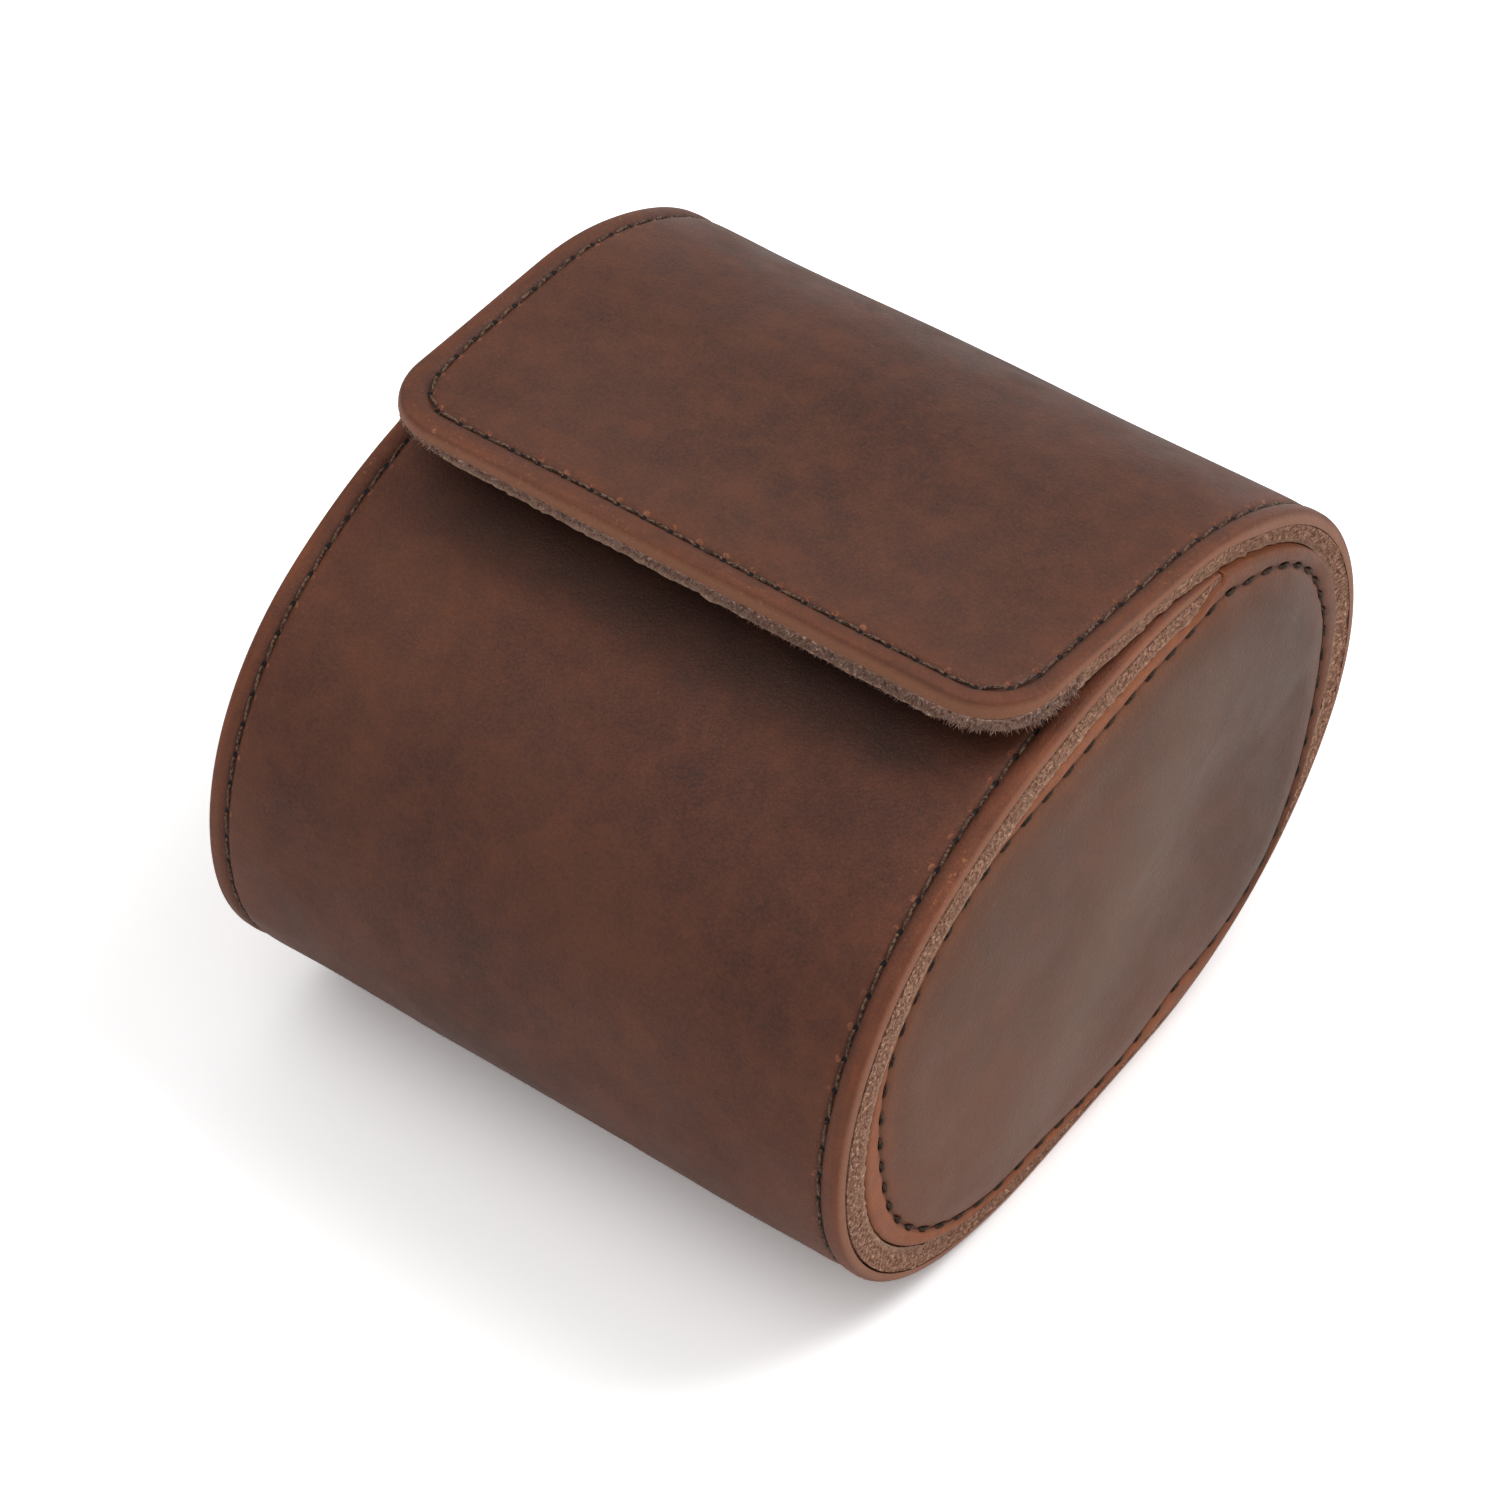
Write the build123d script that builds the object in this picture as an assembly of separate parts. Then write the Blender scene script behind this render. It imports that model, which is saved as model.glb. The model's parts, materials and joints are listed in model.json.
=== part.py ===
from build123d import *
import math
import os

# Single watch case in leather, with a hinged flap and a loose cushion.
# The frame: X runs along the case to its right-hand end, Y from front to back, Z up.
# The origin is on the table, below the middle of the case. All sizes are in millimetres.
# The cross-section is a chain of arcs that meet smoothly. Each layer of the wrap is the
# same chain at its own depth below the grain side, so every layer follows the outside.

# Length of the wrap from raw edge to raw edge
case_length = 95.0

# Outside of the wrapped body. Between two of its points run two arcs that meet smoothly,
# and a turn is the angle in degrees, from +Y towards +Z, that the outside faces there.
front_reach = 53.2
front_widest_height = 30.2
back_reach = 53.2
back_widest_height = 39.7
stand_front = 15.6
stand_back = 8.0
crown_height = 72.2
front_upper_turn_angle = 116.8
front_lower_turn_angle = 251.9
back_lower_turn_angle = 329.4

# Lip: the end of the front panel that lies hidden under the flap
lip_radius = 75.0
lip_reach = 23.6

# Flap: a round shoulder at the back, then a flat run that rises towards its front edge
hinge_angle = -23.0
shoulder_turn_angle = 54.2
flap_top_back = 16.7
flap_top_height = 76.1
flap_rise_angle = 7.5
flap_front_reach = 16.5
flap_corner_radius = 9.5

# Layers of the wrap, from the grain side inwards
leather_thickness = 2.2
board_thickness = 0.6
lining_thickness = 2.0
glue_line = 0.05
board_margin = 6.0
edge_rounding = 1.6

# Gap left between the two halves of the leather where they bend as a hinge
hinge_gap = 0.3

# End panels: leather turned over a board, with the turned edge standing inside the wrap
panel_fit = 0.3
panel_thickness = 1.6
panel_turned_edge = 9.0
panel_fold_radius = 1.4
panel_proud = 0.6
panel_stitch_inset = 3.4
panel_crown = 1.6
panel_crown_slope = 5.4
panel_row_turn_angle = 52.8
end_board_thickness = 2.0
end_lining_thickness = 1.0
lip_end_gap = 0.5

# Stitching
thread_radius = 0.35
stitch_pitch = 4.0
stitch_length = 3.2
stitch_inset = 3.0
groove_width = 1.1
groove_depth = 0.8

# Hidden magnet in the flap and its steel keeper in the front panel
magnet_radius = 7.5
magnet_thickness = 1.5
keeper_radius = 7.0
keeper_thickness = 1.0
pocket_play = 0.05

# Cushion that the watch is strapped round
cushion_width = 74.0
cushion_height = 42.0
cushion_side_turn_angle = 59.5
cushion_end_play = 1.5
cushion_rest_gap = 0.3
cushion_draw_in = 2.0
cover_thickness = 1.2
cover_end_inset = 0.6
cushion_stitch_inset = 3.0
cushion_stitch_lift = 0.5

# Depths and places that follow from the sizes above
half_length = case_length / 2
board_depth = leather_thickness + glue_line
lining_depth = board_depth + board_thickness + glue_line
wrap_depth = lining_depth + lining_thickness
panel_depth = wrap_depth + panel_fit
panel_face = half_length + panel_proud
end_board_face = panel_face - panel_thickness - glue_line
end_lining_face = end_board_face - end_board_thickness - glue_line
cushion_half_length = panel_face - panel_turned_edge - cushion_end_play
thread_depth = groove_depth - thread_radius - glue_line


def unit(angle):
    """Direction in the section at an angle in degrees, from +Y towards +Z."""
    return Vector(math.cos(math.radians(angle)), math.sin(math.radians(angle)))


def in_space(x, point):
    """Point of the section at a place along the case."""
    return Vector(x, point.X, point.Y)


class Arc:
    """Convex arc of the section, between two angles of its outward normal."""

    def __init__(self, centre, radius, start, end):
        self.centre, self.radius, self.start, self.end = centre, radius, start, end

    def length(self):
        return math.radians(self.end - self.start) * self.radius

    def at(self, distance, depth=0.0):
        """Point at a distance along the outside and a depth below it, and its normal angle."""
        angle = self.start + math.degrees(distance / self.radius)
        return self.centre + unit(angle) * (self.radius - depth), angle

    def edge(self, depth=0.0):
        return CenterArc(self.centre, self.radius - depth, self.start, self.end - self.start)

    def cut(self, near, far):
        return Arc(self.centre, self.radius, self.at(near)[1], self.at(far)[1])


class Run:
    """Straight stretch of the section."""

    def __init__(self, start, end, angle):
        self.start, self.end, self.angle = start, end, angle

    def length(self):
        return (self.end - self.start).length

    def at(self, distance, depth=0.0):
        """Point at a distance along the outside and a depth below it, and its normal angle."""
        along = (self.end - self.start) * (distance / self.length())
        return self.start + along - unit(self.angle) * depth, self.angle

    def edge(self, depth=0.0):
        return Line(self.at(0, depth)[0], self.at(self.length(), depth)[0])

    def cut(self, near, far):
        return Run(self.at(near)[0], self.at(far)[0], self.angle)


def two_arcs(start, start_angle, end, end_angle, turn):
    """Two arcs between two points with given normals, which meet where the normal is at turn."""
    first = unit(turn) - unit(start_angle)
    last = unit(end_angle) - unit(turn)
    gap = end - start
    spread = first.X * last.Y - first.Y * last.X
    radius = (gap.X * last.Y - gap.Y * last.X) / spread
    other_radius = (first.X * gap.Y - first.Y * gap.X) / spread
    return [
        Arc(start - unit(start_angle) * radius, radius, start_angle, turn),
        Arc(end - unit(end_angle) * other_radius, other_radius, turn, end_angle),
    ]


# Points that the section passes through
crown = Vector(0, crown_height)
front = Vector(-front_reach, front_widest_height)
stand_start = Vector(-stand_front, 0)
stand_end = Vector(stand_back, 0)
back = Vector(back_reach, back_widest_height)
flap_top = Vector(flap_top_back, flap_top_height)
flap_normal = 90 - flap_rise_angle
lip_centre = crown - Vector(0, lip_radius)
cushion_centre_y = (stand_back - stand_front) / 2
cushion_centre_z = wrap_depth + cushion_rest_gap + cushion_height / 2


def fixed_arcs():
    """Front, foot and back of the section, from the crown round to the widest point behind."""
    upper = two_arcs(crown, 90, front, 180, front_upper_turn_angle)
    lower = two_arcs(front, 180, stand_start, 270, front_lower_turn_angle)
    rear = two_arcs(stand_end, 270, back, 360, back_lower_turn_angle)
    return [*upper, *lower, Run(stand_start, stand_end, 270), *rear]


def wrap_chain():
    """Fixed wrap, from the lip to the hinge."""
    lip = Arc(lip_centre, lip_radius, math.degrees(math.acos(lip_reach / lip_radius)), 90)
    arcs = fixed_arcs()
    last = arcs.pop()
    return [lip, *arcs, Arc(last.centre, last.radius, last.start, 360 + hinge_angle)]


def flap_chain():
    """Flap, from the hinge over the shoulder to its front edge."""
    side = fixed_arcs()[-1]
    opening = hinge_angle + math.degrees(hinge_gap / side.radius)
    tongue = Arc(side.centre, side.radius, opening, 0)
    shoulder = two_arcs(back, 0, flap_top, flap_normal, shoulder_turn_angle)
    reach = (flap_top_back + flap_front_reach) / math.cos(math.radians(flap_rise_angle))
    flap_front = flap_top + unit(flap_normal + 90) * reach
    return [tongue, *shoulder, Run(flap_top, flap_front, flap_normal)]


def ring_chain(depth):
    """Smooth closed oval at a depth, which the end panel's stitching and crown follow."""
    closing = two_arcs(back, 0, crown, 90, panel_row_turn_angle)
    return [narrowed(piece, depth) for piece in [*fixed_arcs(), *closing]]


def panel_chain(depth):
    """Closed outline of the end panel, which steps out behind the lip to meet the flap."""
    step = lip_reach + lip_end_gap + depth - panel_depth
    under_lip = narrowed(Arc(lip_centre, lip_radius, 0, 90), depth)
    under_lip.start = math.degrees(math.acos(step / under_lip.radius))
    shoulder, over = [narrowed(arc, depth) for arc in flap_chain()[1:3]]
    over.end = math.degrees(math.acos((step - over.centre.X) / over.radius))
    rise = Run(over.at(over.length())[0], under_lip.at(0)[0], 180)
    return [under_lip, *[narrowed(piece, depth) for piece in fixed_arcs()], shoulder, over, rise]


def narrowed(piece, depth):
    """The same arc or run, moved inwards by a depth."""
    if isinstance(piece, Arc):
        return Arc(piece.centre, piece.radius - depth, piece.start, piece.end)
    shift = unit(piece.angle) * depth
    return Run(piece.start - shift, piece.end - shift, piece.angle)


def oval_chain(inset):
    """Closed oval about the cushion's middle, at an inset below its fullest outline."""
    middle = Vector(cushion_centre_y, cushion_centre_z)
    side = Vector(cushion_width / 2 - inset, 0)
    top = Vector(0, cushion_height / 2 - inset)
    quarter = two_arcs(side, 0, top, 90, cushion_side_turn_angle)
    half = quarter + [
        Arc(Vector(-arc.centre.X, arc.centre.Y), arc.radius, 180 - arc.end, 180 - arc.start)
        for arc in reversed(quarter)
    ]
    whole = half + [
        Arc(arc.centre * -1, arc.radius, arc.start + 180, arc.end + 180) for arc in half
    ]
    return [Arc(arc.centre + middle, arc.radius, arc.start, arc.end) for arc in whole]


def chain_length(chain):
    return sum(piece.length() for piece in chain)


def trimmed(chain, near, far):
    """Chain without its first and last stretches."""
    kept, passed, total = [], 0.0, chain_length(chain)
    for piece in chain:
        start = max(near - passed, 0)
        end = min(total - far - passed, piece.length())
        if end > start:
            kept.append(piece.cut(start, end))
        passed += piece.length()
    return kept


def walk(chain, distance, depth=0.0):
    """Point and normal angle at a distance along a chain."""
    for piece in chain:
        if distance <= piece.length():
            break
        distance -= piece.length()
    return piece.at(min(distance, piece.length()), depth)


def depth_in(chain, point):
    """How far a point of the section lies below the outside of a chain."""
    depths = []
    for piece in chain:
        if isinstance(piece, Run):
            depths.append((piece.start - point).dot(unit(piece.angle)))
            continue
        arm = point - piece.centre
        angle = math.degrees(math.atan2(arm.Y, arm.X))
        angle += 360 * math.ceil((piece.start - 0.01 - angle) / 360)
        if angle <= piece.end + 0.01:
            depths.append(piece.radius - arm.length)
    return min(depths, key=abs)


def closed_face(chain):
    return make_face([piece.edge() for piece in chain])


def strip_face(chain, outer, inner):
    """Face between two depths of a chain."""
    ends = [chain[0].at(0, outer)[0], chain[0].at(0, inner)[0]]
    other_ends = [chain[-1].at(chain[-1].length(), depth)[0] for depth in (outer, inner)]
    edges = [piece.edge(depth) for depth in (outer, inner) for piece in chain]
    return make_face([*edges, Line(*ends), Line(*other_ends)])


def along_case(face, low, high):
    """Section face pushed along the case, from one place to another."""
    return extrude(Plane.YZ.offset(low) * face, amount=high - low)


def layer(chain, outer, inner, length):
    return along_case(strip_face(chain, outer, inner), -length / 2, length / 2)


def edge_grooves(chain):
    """Two grooves that sink the stitches near the ends of the case."""
    face = strip_face(chain, -glue_line, groove_depth)
    middle = half_length - stitch_inset
    right = along_case(face, middle - groove_width / 2, middle + groove_width / 2)
    return right + mirror(right, Plane.YZ)


def grain_edges(solid, chain, clear_span=0.0):
    """Edges of the grain side that are rounded: the raw ends, and the corners between them."""
    chosen = []
    for edge in solid.edges():
        middle = edge.position_at(0.5)
        on_grain = abs(depth_in(chain, Vector(middle.Y, middle.Z))) < glue_line / 5
        if on_grain and abs(middle.X) > half_length - clear_span - glue_line:
            chosen.append(edge)
    return chosen


def flap_plane():
    """Plane of the flap's flat run: local y leads back from the front edge, z out of the grain."""
    front_edge = flap_chain()[-1].end
    normal = in_space(0, unit(flap_normal))
    return Plane(origin=in_space(0, front_edge), x_dir=(1, 0, 0), z_dir=normal)


def rounded_front(inset):
    """Front of the flap in its own plane, with both corners rounded, up to where they end."""
    radius = flap_corner_radius - inset
    width = case_length - 2 * inset
    bar = Pos(0, inset + radius / 2) * Rectangle(width - 2 * radius, radius)
    for side in (-1, 1):
        quarter = Circle(radius) & Pos(side * radius / 2, -radius / 2) * Rectangle(radius, radius)
        bar += Pos(side * (half_length - flap_corner_radius), flap_corner_radius) * quarter
    return bar


def corner_waste(inset):
    """What is cut away outside the flap's rounded corners."""
    radius = flap_corner_radius - inset
    square = Pos(0, inset + radius / 2) * Rectangle(case_length - 2 * inset, radius)
    return extrude(flap_plane() * (square - rounded_front(inset)), amount=2 * wrap_depth, both=True)


def front_groove():
    """Groove round the flap's front edge and corners."""
    outer = rounded_front(stitch_inset - groove_width / 2)
    inner = rounded_front(stitch_inset + groove_width / 2)
    return extrude(flap_plane() * (outer - inner), amount=-groove_depth)


def stitch(origin, along):
    """One stitch: a short bar of thread."""
    return Plane(origin=origin, z_dir=along) * Cylinder(thread_radius, stitch_length)


def stitch_row(chain, x, depth):
    """Stitches along a chain at one place of the case, evenly spaced."""
    total = chain_length(chain)
    count = int(total / stitch_pitch)
    row = []
    for number in range(count):
        point, angle = walk(chain, (number + 0.5) * total / count, depth)
        row.append(stitch(in_space(x, point), in_space(0, unit(angle + 90))))
    return row


def wrap_leather():
    chain = wrap_chain()
    body = layer(chain, 0, leather_thickness, case_length)
    body = fillet(grain_edges(body, chain), edge_rounding)
    return body - edge_grooves(chain) - lip_groove()


def lip_groove():
    """Groove along the lip's edge."""
    chain = trimmed(wrap_chain()[:1], stitch_inset - groove_width / 2, 0)
    width = chain_length(chain) - groove_width
    length = case_length - 2 * stitch_inset
    return layer(trimmed(chain, 0, width), -glue_line, groove_depth, length)


def wrap_board():
    chain = trimmed(wrap_chain(), board_margin, board_margin)
    length = case_length - 2 * board_margin
    return layer(chain, board_depth, board_depth + board_thickness, length)


def wrap_lining():
    sheet = layer(wrap_chain(), lining_depth, wrap_depth, case_length)
    return sheet - keeper_disc(pocket_play)


def closure_disc(radius, top, thickness):
    """Disc where flap and lip lie parallel, its top at a distance from the lip's centre."""
    middle = lip_centre + unit(flap_normal) * (top - thickness / 2)
    plane = Plane(origin=in_space(0, middle), x_dir=(1, 0, 0), z_dir=in_space(0, unit(flap_normal)))
    return plane * Cylinder(radius, thickness)


def keeper_disc(play=0.0):
    """Keeper, or with play the pocket that it lies in, just under the board's curve."""
    under_board = lip_radius - lining_depth
    edge_drop = under_board - math.sqrt(under_board**2 - keeper_radius**2)
    top = under_board - edge_drop - pocket_play
    if play:
        return closure_disc(keeper_radius + play, lip_radius, lip_radius - top + keeper_thickness + play)
    return closure_disc(keeper_radius, top, keeper_thickness)


def magnet_disc(play=0.0):
    """Magnet, or with play the pocket that it lies in, just under the flap's board."""
    grain = (flap_top - lip_centre).dot(unit(flap_normal))
    top = grain - lining_depth - pocket_play
    if play:
        return closure_disc(magnet_radius + play, grain, grain - top + magnet_thickness + play)
    return closure_disc(magnet_radius, top, magnet_thickness)


def lip_thread():
    """Stitches along the lip's edge, between the two end rows."""
    point, angle = walk(wrap_chain(), stitch_inset, thread_depth)
    span = case_length - 2 * stitch_inset - 2 * groove_width
    count = int(span / stitch_pitch)
    places = [(number + 0.5) * span / count - span / 2 for number in range(count)]
    return Compound([stitch(in_space(x, point), (1, 0, 0)) for x in places])


def wrap_thread(side):
    """Row of stitches through the wrap near one end."""
    chain = trimmed(wrap_chain(), stitch_inset + groove_width, hinge_gap)
    return Compound(stitch_row(chain, side * (half_length - stitch_inset), thread_depth))


def flap_leather():
    chain = flap_chain()
    flap = layer(chain, 0, leather_thickness, case_length) - corner_waste(0)
    front_y = chain[-1].end.X
    rounded = grain_edges(flap, chain, flap_corner_radius)
    rounded += [e for e in flap.edges() if abs(e.position_at(0.5).X) < glue_line
                and (e.position_at(0.5) - in_space(0, Vector(front_y, chain[-1].end.Y))).length < glue_line]
    return fillet(rounded, edge_rounding) - side_grooves() - front_groove()


def side_grooves():
    """Grooves along the flap's sides, up to where its corners begin."""
    return edge_grooves(trimmed(flap_chain(), 0, flap_corner_radius - glue_line))


def flap_board():
    chain = trimmed(flap_chain(), board_margin, board_margin)
    length = case_length - 2 * board_margin
    board = layer(chain, board_depth, board_depth + board_thickness, length)
    return board - corner_waste(board_margin)


def flap_lining():
    sheet = layer(flap_chain(), lining_depth, wrap_depth, case_length)
    return sheet - corner_waste(0) - magnet_disc(pocket_play)


def flap_thread():
    """Stitches along both sides, round the corners and along the front edge of the flap."""
    side_chain = trimmed(flap_chain(), hinge_gap, flap_corner_radius)
    row = []
    for side in (-1, 1):
        row += stitch_row(side_chain, side * (half_length - stitch_inset), thread_depth)
    plane = flap_plane()
    bend = flap_corner_radius - stitch_inset
    turns = int(bend * math.pi / 2 / stitch_pitch)
    for side in (-1, 1):
        middle = Vector(side * (half_length - flap_corner_radius), flap_corner_radius)
        for number in range(turns):
            out = unit(-90 + side * 90 * (number + 0.5) / turns)
            point = middle + out * bend
            origin = plane.from_local_coords(Vector(point.X, point.Y, -thread_depth))
            along = plane.from_local_coords(Vector(-out.Y, out.X, 0)) - plane.origin
            row.append(stitch(origin, along))
    span = case_length - 2 * flap_corner_radius
    count = int(span / stitch_pitch)
    for number in range(count):
        x = (number + 0.5) * span / count - span / 2
        row.append(stitch(plane.from_local_coords(Vector(x, stitch_inset, -thread_depth)), (1, 0, 0)))
    return Compound(row)


def end_panel():
    """Right-hand end panel: crowned face, rounded fold, stitch groove and turned edge."""
    outline = closed_face(panel_chain(panel_depth))
    cap = along_case(outline, panel_face - panel_turned_edge, panel_face)
    rim = [e for e in cap.edges() if abs(e.center().X - panel_face) < glue_line / 5]
    cap = fillet(rim, panel_fold_radius)
    inside = closed_face(panel_chain(panel_depth + panel_thickness))
    cap -= along_case(inside, panel_face - panel_turned_edge, panel_face - panel_thickness)
    row = panel_depth + panel_stitch_inset
    trench = closed_face(ring_chain(row - groove_width / 2)) - closed_face(ring_chain(row + groove_width / 2))
    cap -= along_case(trench, panel_face - groove_depth, panel_face + glue_line)
    return cap + panel_pillow(row + groove_width / 2)


def panel_pillow(depth):
    """Raised middle of the end panel, inside its stitching."""
    steps = [(0.0, -glue_line), (0.2, 0.55), (0.5, 0.85), (1.0, 1.0)]
    sections = []
    for inward, rise in steps:
        face = closed_face(ring_chain(depth + inward * panel_crown_slope))
        sections.append(Plane.YZ.offset(panel_face + rise * panel_crown) * face)
    return loft(sections, ruled=True)


def end_board():
    outline = closed_face(ring_chain(panel_depth + panel_thickness + glue_line))
    return along_case(outline, end_board_face - end_board_thickness, end_board_face)


def end_lining():
    outline = closed_face(ring_chain(panel_depth + panel_thickness + glue_line))
    return along_case(outline, end_lining_face - end_lining_thickness, end_lining_face)


def end_thread():
    """Ring of stitches in the end panel's groove."""
    chain = ring_chain(panel_depth + panel_stitch_inset)
    return Compound(stitch_row(chain, panel_face - thread_depth, 0))


def cushion_body(inset, half):
    """Cushion shape, a little fuller in the middle, at an inset below its outside."""
    sections = []
    for place, draw in ((-half, cushion_draw_in), (0, 0), (half, cushion_draw_in)):
        sections.append(Plane.YZ.offset(place) * closed_face(oval_chain(inset + draw)))
    return loft(sections)


def cushion_cover():
    inner = cushion_body(cover_thickness, cushion_half_length)
    return cushion_body(0, cushion_half_length) - inner


def cushion_core():
    depth = cover_end_inset + cover_thickness + glue_line
    inner = cushion_body(cover_thickness + glue_line, cushion_half_length)
    face = Plane.YZ * Rectangle(2 * cushion_width, 2 * cushion_width)
    middle = Pos(0, cushion_centre_y, cushion_centre_z)
    return inner & middle * extrude(face, amount=cushion_half_length - depth, both=True)


def cushion_end():
    """Right-hand end disc of the cushion, just inside the sleeve."""
    chain = oval_chain(cushion_draw_in + cover_thickness + glue_line)
    face = cushion_half_length - cover_end_inset
    return along_case(closed_face(chain), face - cover_thickness, face)


def cushion_thread():
    """Stitches round the right-hand end of the cushion's sleeve."""
    chain = oval_chain(cushion_draw_in - cushion_stitch_lift - thread_radius)
    return Compound(stitch_row(chain, cushion_half_length - cushion_stitch_inset, 0))


def save(shape, name):
    export_step(shape, f"parts/{name}.step")


def save_pair(shape, name):
    """The right-hand piece and its mirror image at the left."""
    save(shape, f"{name}_right")
    save(mirror(shape, Plane.YZ), f"{name}_left")


def main():
    os.makedirs("parts", exist_ok=True)
    save(wrap_leather(), "wrap_leather")
    save(wrap_board(), "wrap_board")
    save(wrap_lining(), "wrap_lining")
    save(lip_thread(), "lip_thread")
    save(keeper_disc(), "closure_keeper")
    save_pair(wrap_thread(1), "wrap_thread")
    save_pair(end_panel(), "end_panel")
    save_pair(end_board(), "end_board")
    save_pair(end_lining(), "end_lining")
    save_pair(end_thread(), "end_thread")
    save(flap_leather(), "flap_leather")
    save(flap_board(), "flap_board")
    save(flap_lining(), "flap_lining")
    save(flap_thread(), "flap_thread")
    save(magnet_disc(), "closure_magnet")
    save(cushion_cover(), "cushion_cover")
    save(cushion_core(), "cushion_core")
    save_pair(cushion_end(), "cushion_end")
    save_pair(cushion_thread(), "cushion_thread")


main()
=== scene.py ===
"""Looks of a leather watch case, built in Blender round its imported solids.

The leather is made as a saddler makes it: each sheet is cut, rounded, creased and pricked flat, and then
wrapped round the case's cross-section. Sizes are in millimetres until a point is placed in space.
"""

import json
import logging
import math
import random
from collections.abc import Callable, Iterable
from dataclasses import dataclass, field
from enum import Enum
from functools import cached_property

import bmesh
import bpy
from bmesh.types import BMesh, BMLayerItem, BMVert
from bpy.types import Material, Node, NodeSocket, NodeTree, Object
from mathutils import Matrix, Vector, noise
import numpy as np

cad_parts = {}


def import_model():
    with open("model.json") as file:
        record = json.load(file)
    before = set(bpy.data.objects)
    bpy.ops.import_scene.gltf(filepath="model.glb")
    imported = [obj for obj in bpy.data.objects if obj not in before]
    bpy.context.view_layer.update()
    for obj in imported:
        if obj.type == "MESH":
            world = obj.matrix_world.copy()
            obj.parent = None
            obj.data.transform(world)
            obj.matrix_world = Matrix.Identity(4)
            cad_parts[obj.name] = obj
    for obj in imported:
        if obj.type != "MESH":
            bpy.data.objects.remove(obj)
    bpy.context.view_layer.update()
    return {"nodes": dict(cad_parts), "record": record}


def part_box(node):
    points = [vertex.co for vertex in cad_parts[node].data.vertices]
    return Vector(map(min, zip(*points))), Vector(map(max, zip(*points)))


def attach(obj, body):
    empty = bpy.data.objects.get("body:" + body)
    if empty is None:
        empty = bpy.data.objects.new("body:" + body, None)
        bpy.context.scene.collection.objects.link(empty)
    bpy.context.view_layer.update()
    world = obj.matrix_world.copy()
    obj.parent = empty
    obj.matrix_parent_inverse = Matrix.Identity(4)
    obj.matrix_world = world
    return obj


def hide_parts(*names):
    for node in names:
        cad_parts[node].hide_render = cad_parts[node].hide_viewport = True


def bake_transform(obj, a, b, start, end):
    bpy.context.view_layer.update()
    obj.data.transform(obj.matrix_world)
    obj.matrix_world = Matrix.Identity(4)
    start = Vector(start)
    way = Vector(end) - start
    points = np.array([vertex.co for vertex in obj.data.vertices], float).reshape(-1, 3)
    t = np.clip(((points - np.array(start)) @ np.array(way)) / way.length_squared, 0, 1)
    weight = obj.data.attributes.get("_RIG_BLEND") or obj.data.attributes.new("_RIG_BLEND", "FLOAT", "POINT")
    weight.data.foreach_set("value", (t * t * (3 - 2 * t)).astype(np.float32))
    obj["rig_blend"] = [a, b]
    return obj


LOG = logging.getLogger("watch_case")
MM = 0.001
MARKS = ("worn", "shade", "bloom", "along", "aside")
SMOOTH_STEP = {"interpolation_type": "SMOOTHSTEP"}
SHARP_ANGLE = 50.0

Table = tuple[tuple[float, float], ...]
Triples = Iterable[tuple[Vector, Vector, Vector]]


class End(Enum):
    """Ends of the case along X."""

    LEFT = -1
    RIGHT = 1


class Part(Enum):
    """Parts of an end panel's profile, from behind it over its turned edge to its middle."""

    BACK = "back"
    INNER = "inner"
    OUTER = "outer"
    FOLD = "fold"
    BORDER = "border"
    FACE = "face"
    MIDDLE = "middle"


def facing(angle: float) -> Vector:
    """Direction in the cross-section at an angle in degrees, from +Y towards +Z."""
    return Vector((math.cos(math.radians(angle)), math.sin(math.radians(angle))))


def smooth(low: float, high: float, value: float) -> float:
    """Smooth step from 0 at low to 1 at high, which may be the smaller of the two."""
    share = min(max((value - low) / (high - low), 0.0), 1.0)
    return share * share * (3 - 2 * share)


def bump(value: float, centre: float, width: float) -> float:
    """Bell of height 1 about a centre."""
    return math.exp(-(((value - centre) / width) ** 2))


def wave(x: float, y: float, z: float) -> float:
    """Smooth noise at a place."""
    return noise.noise(Vector((x, y, z)))


def spaced(low: float, high: float, step: float) -> list[float]:
    """Evenly spaced values from low to high, about a step apart."""
    count = max(1, round((high - low) / step))
    return [low + (high - low) * number / count for number in range(count + 1)]


def linear(code: str) -> tuple[float, float, float, float]:
    """Turn an sRGB hex colour into the linear colour, with an alpha of 1, that a shader takes."""
    channels = [int(code[i : i + 2], 16) / 255 for i in (1, 3, 5)]
    red, green, blue = (c / 12.92 if c <= 0.04045 else ((c + 0.055) / 1.055) ** 2.4 for c in channels)
    return red, green, blue, 1.0


# Cross-section


@dataclass(frozen=True)
class Leg:
    """One arc or straight stretch of a chain: its length and its radius, infinite when straight."""

    length: float
    radius: float


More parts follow.
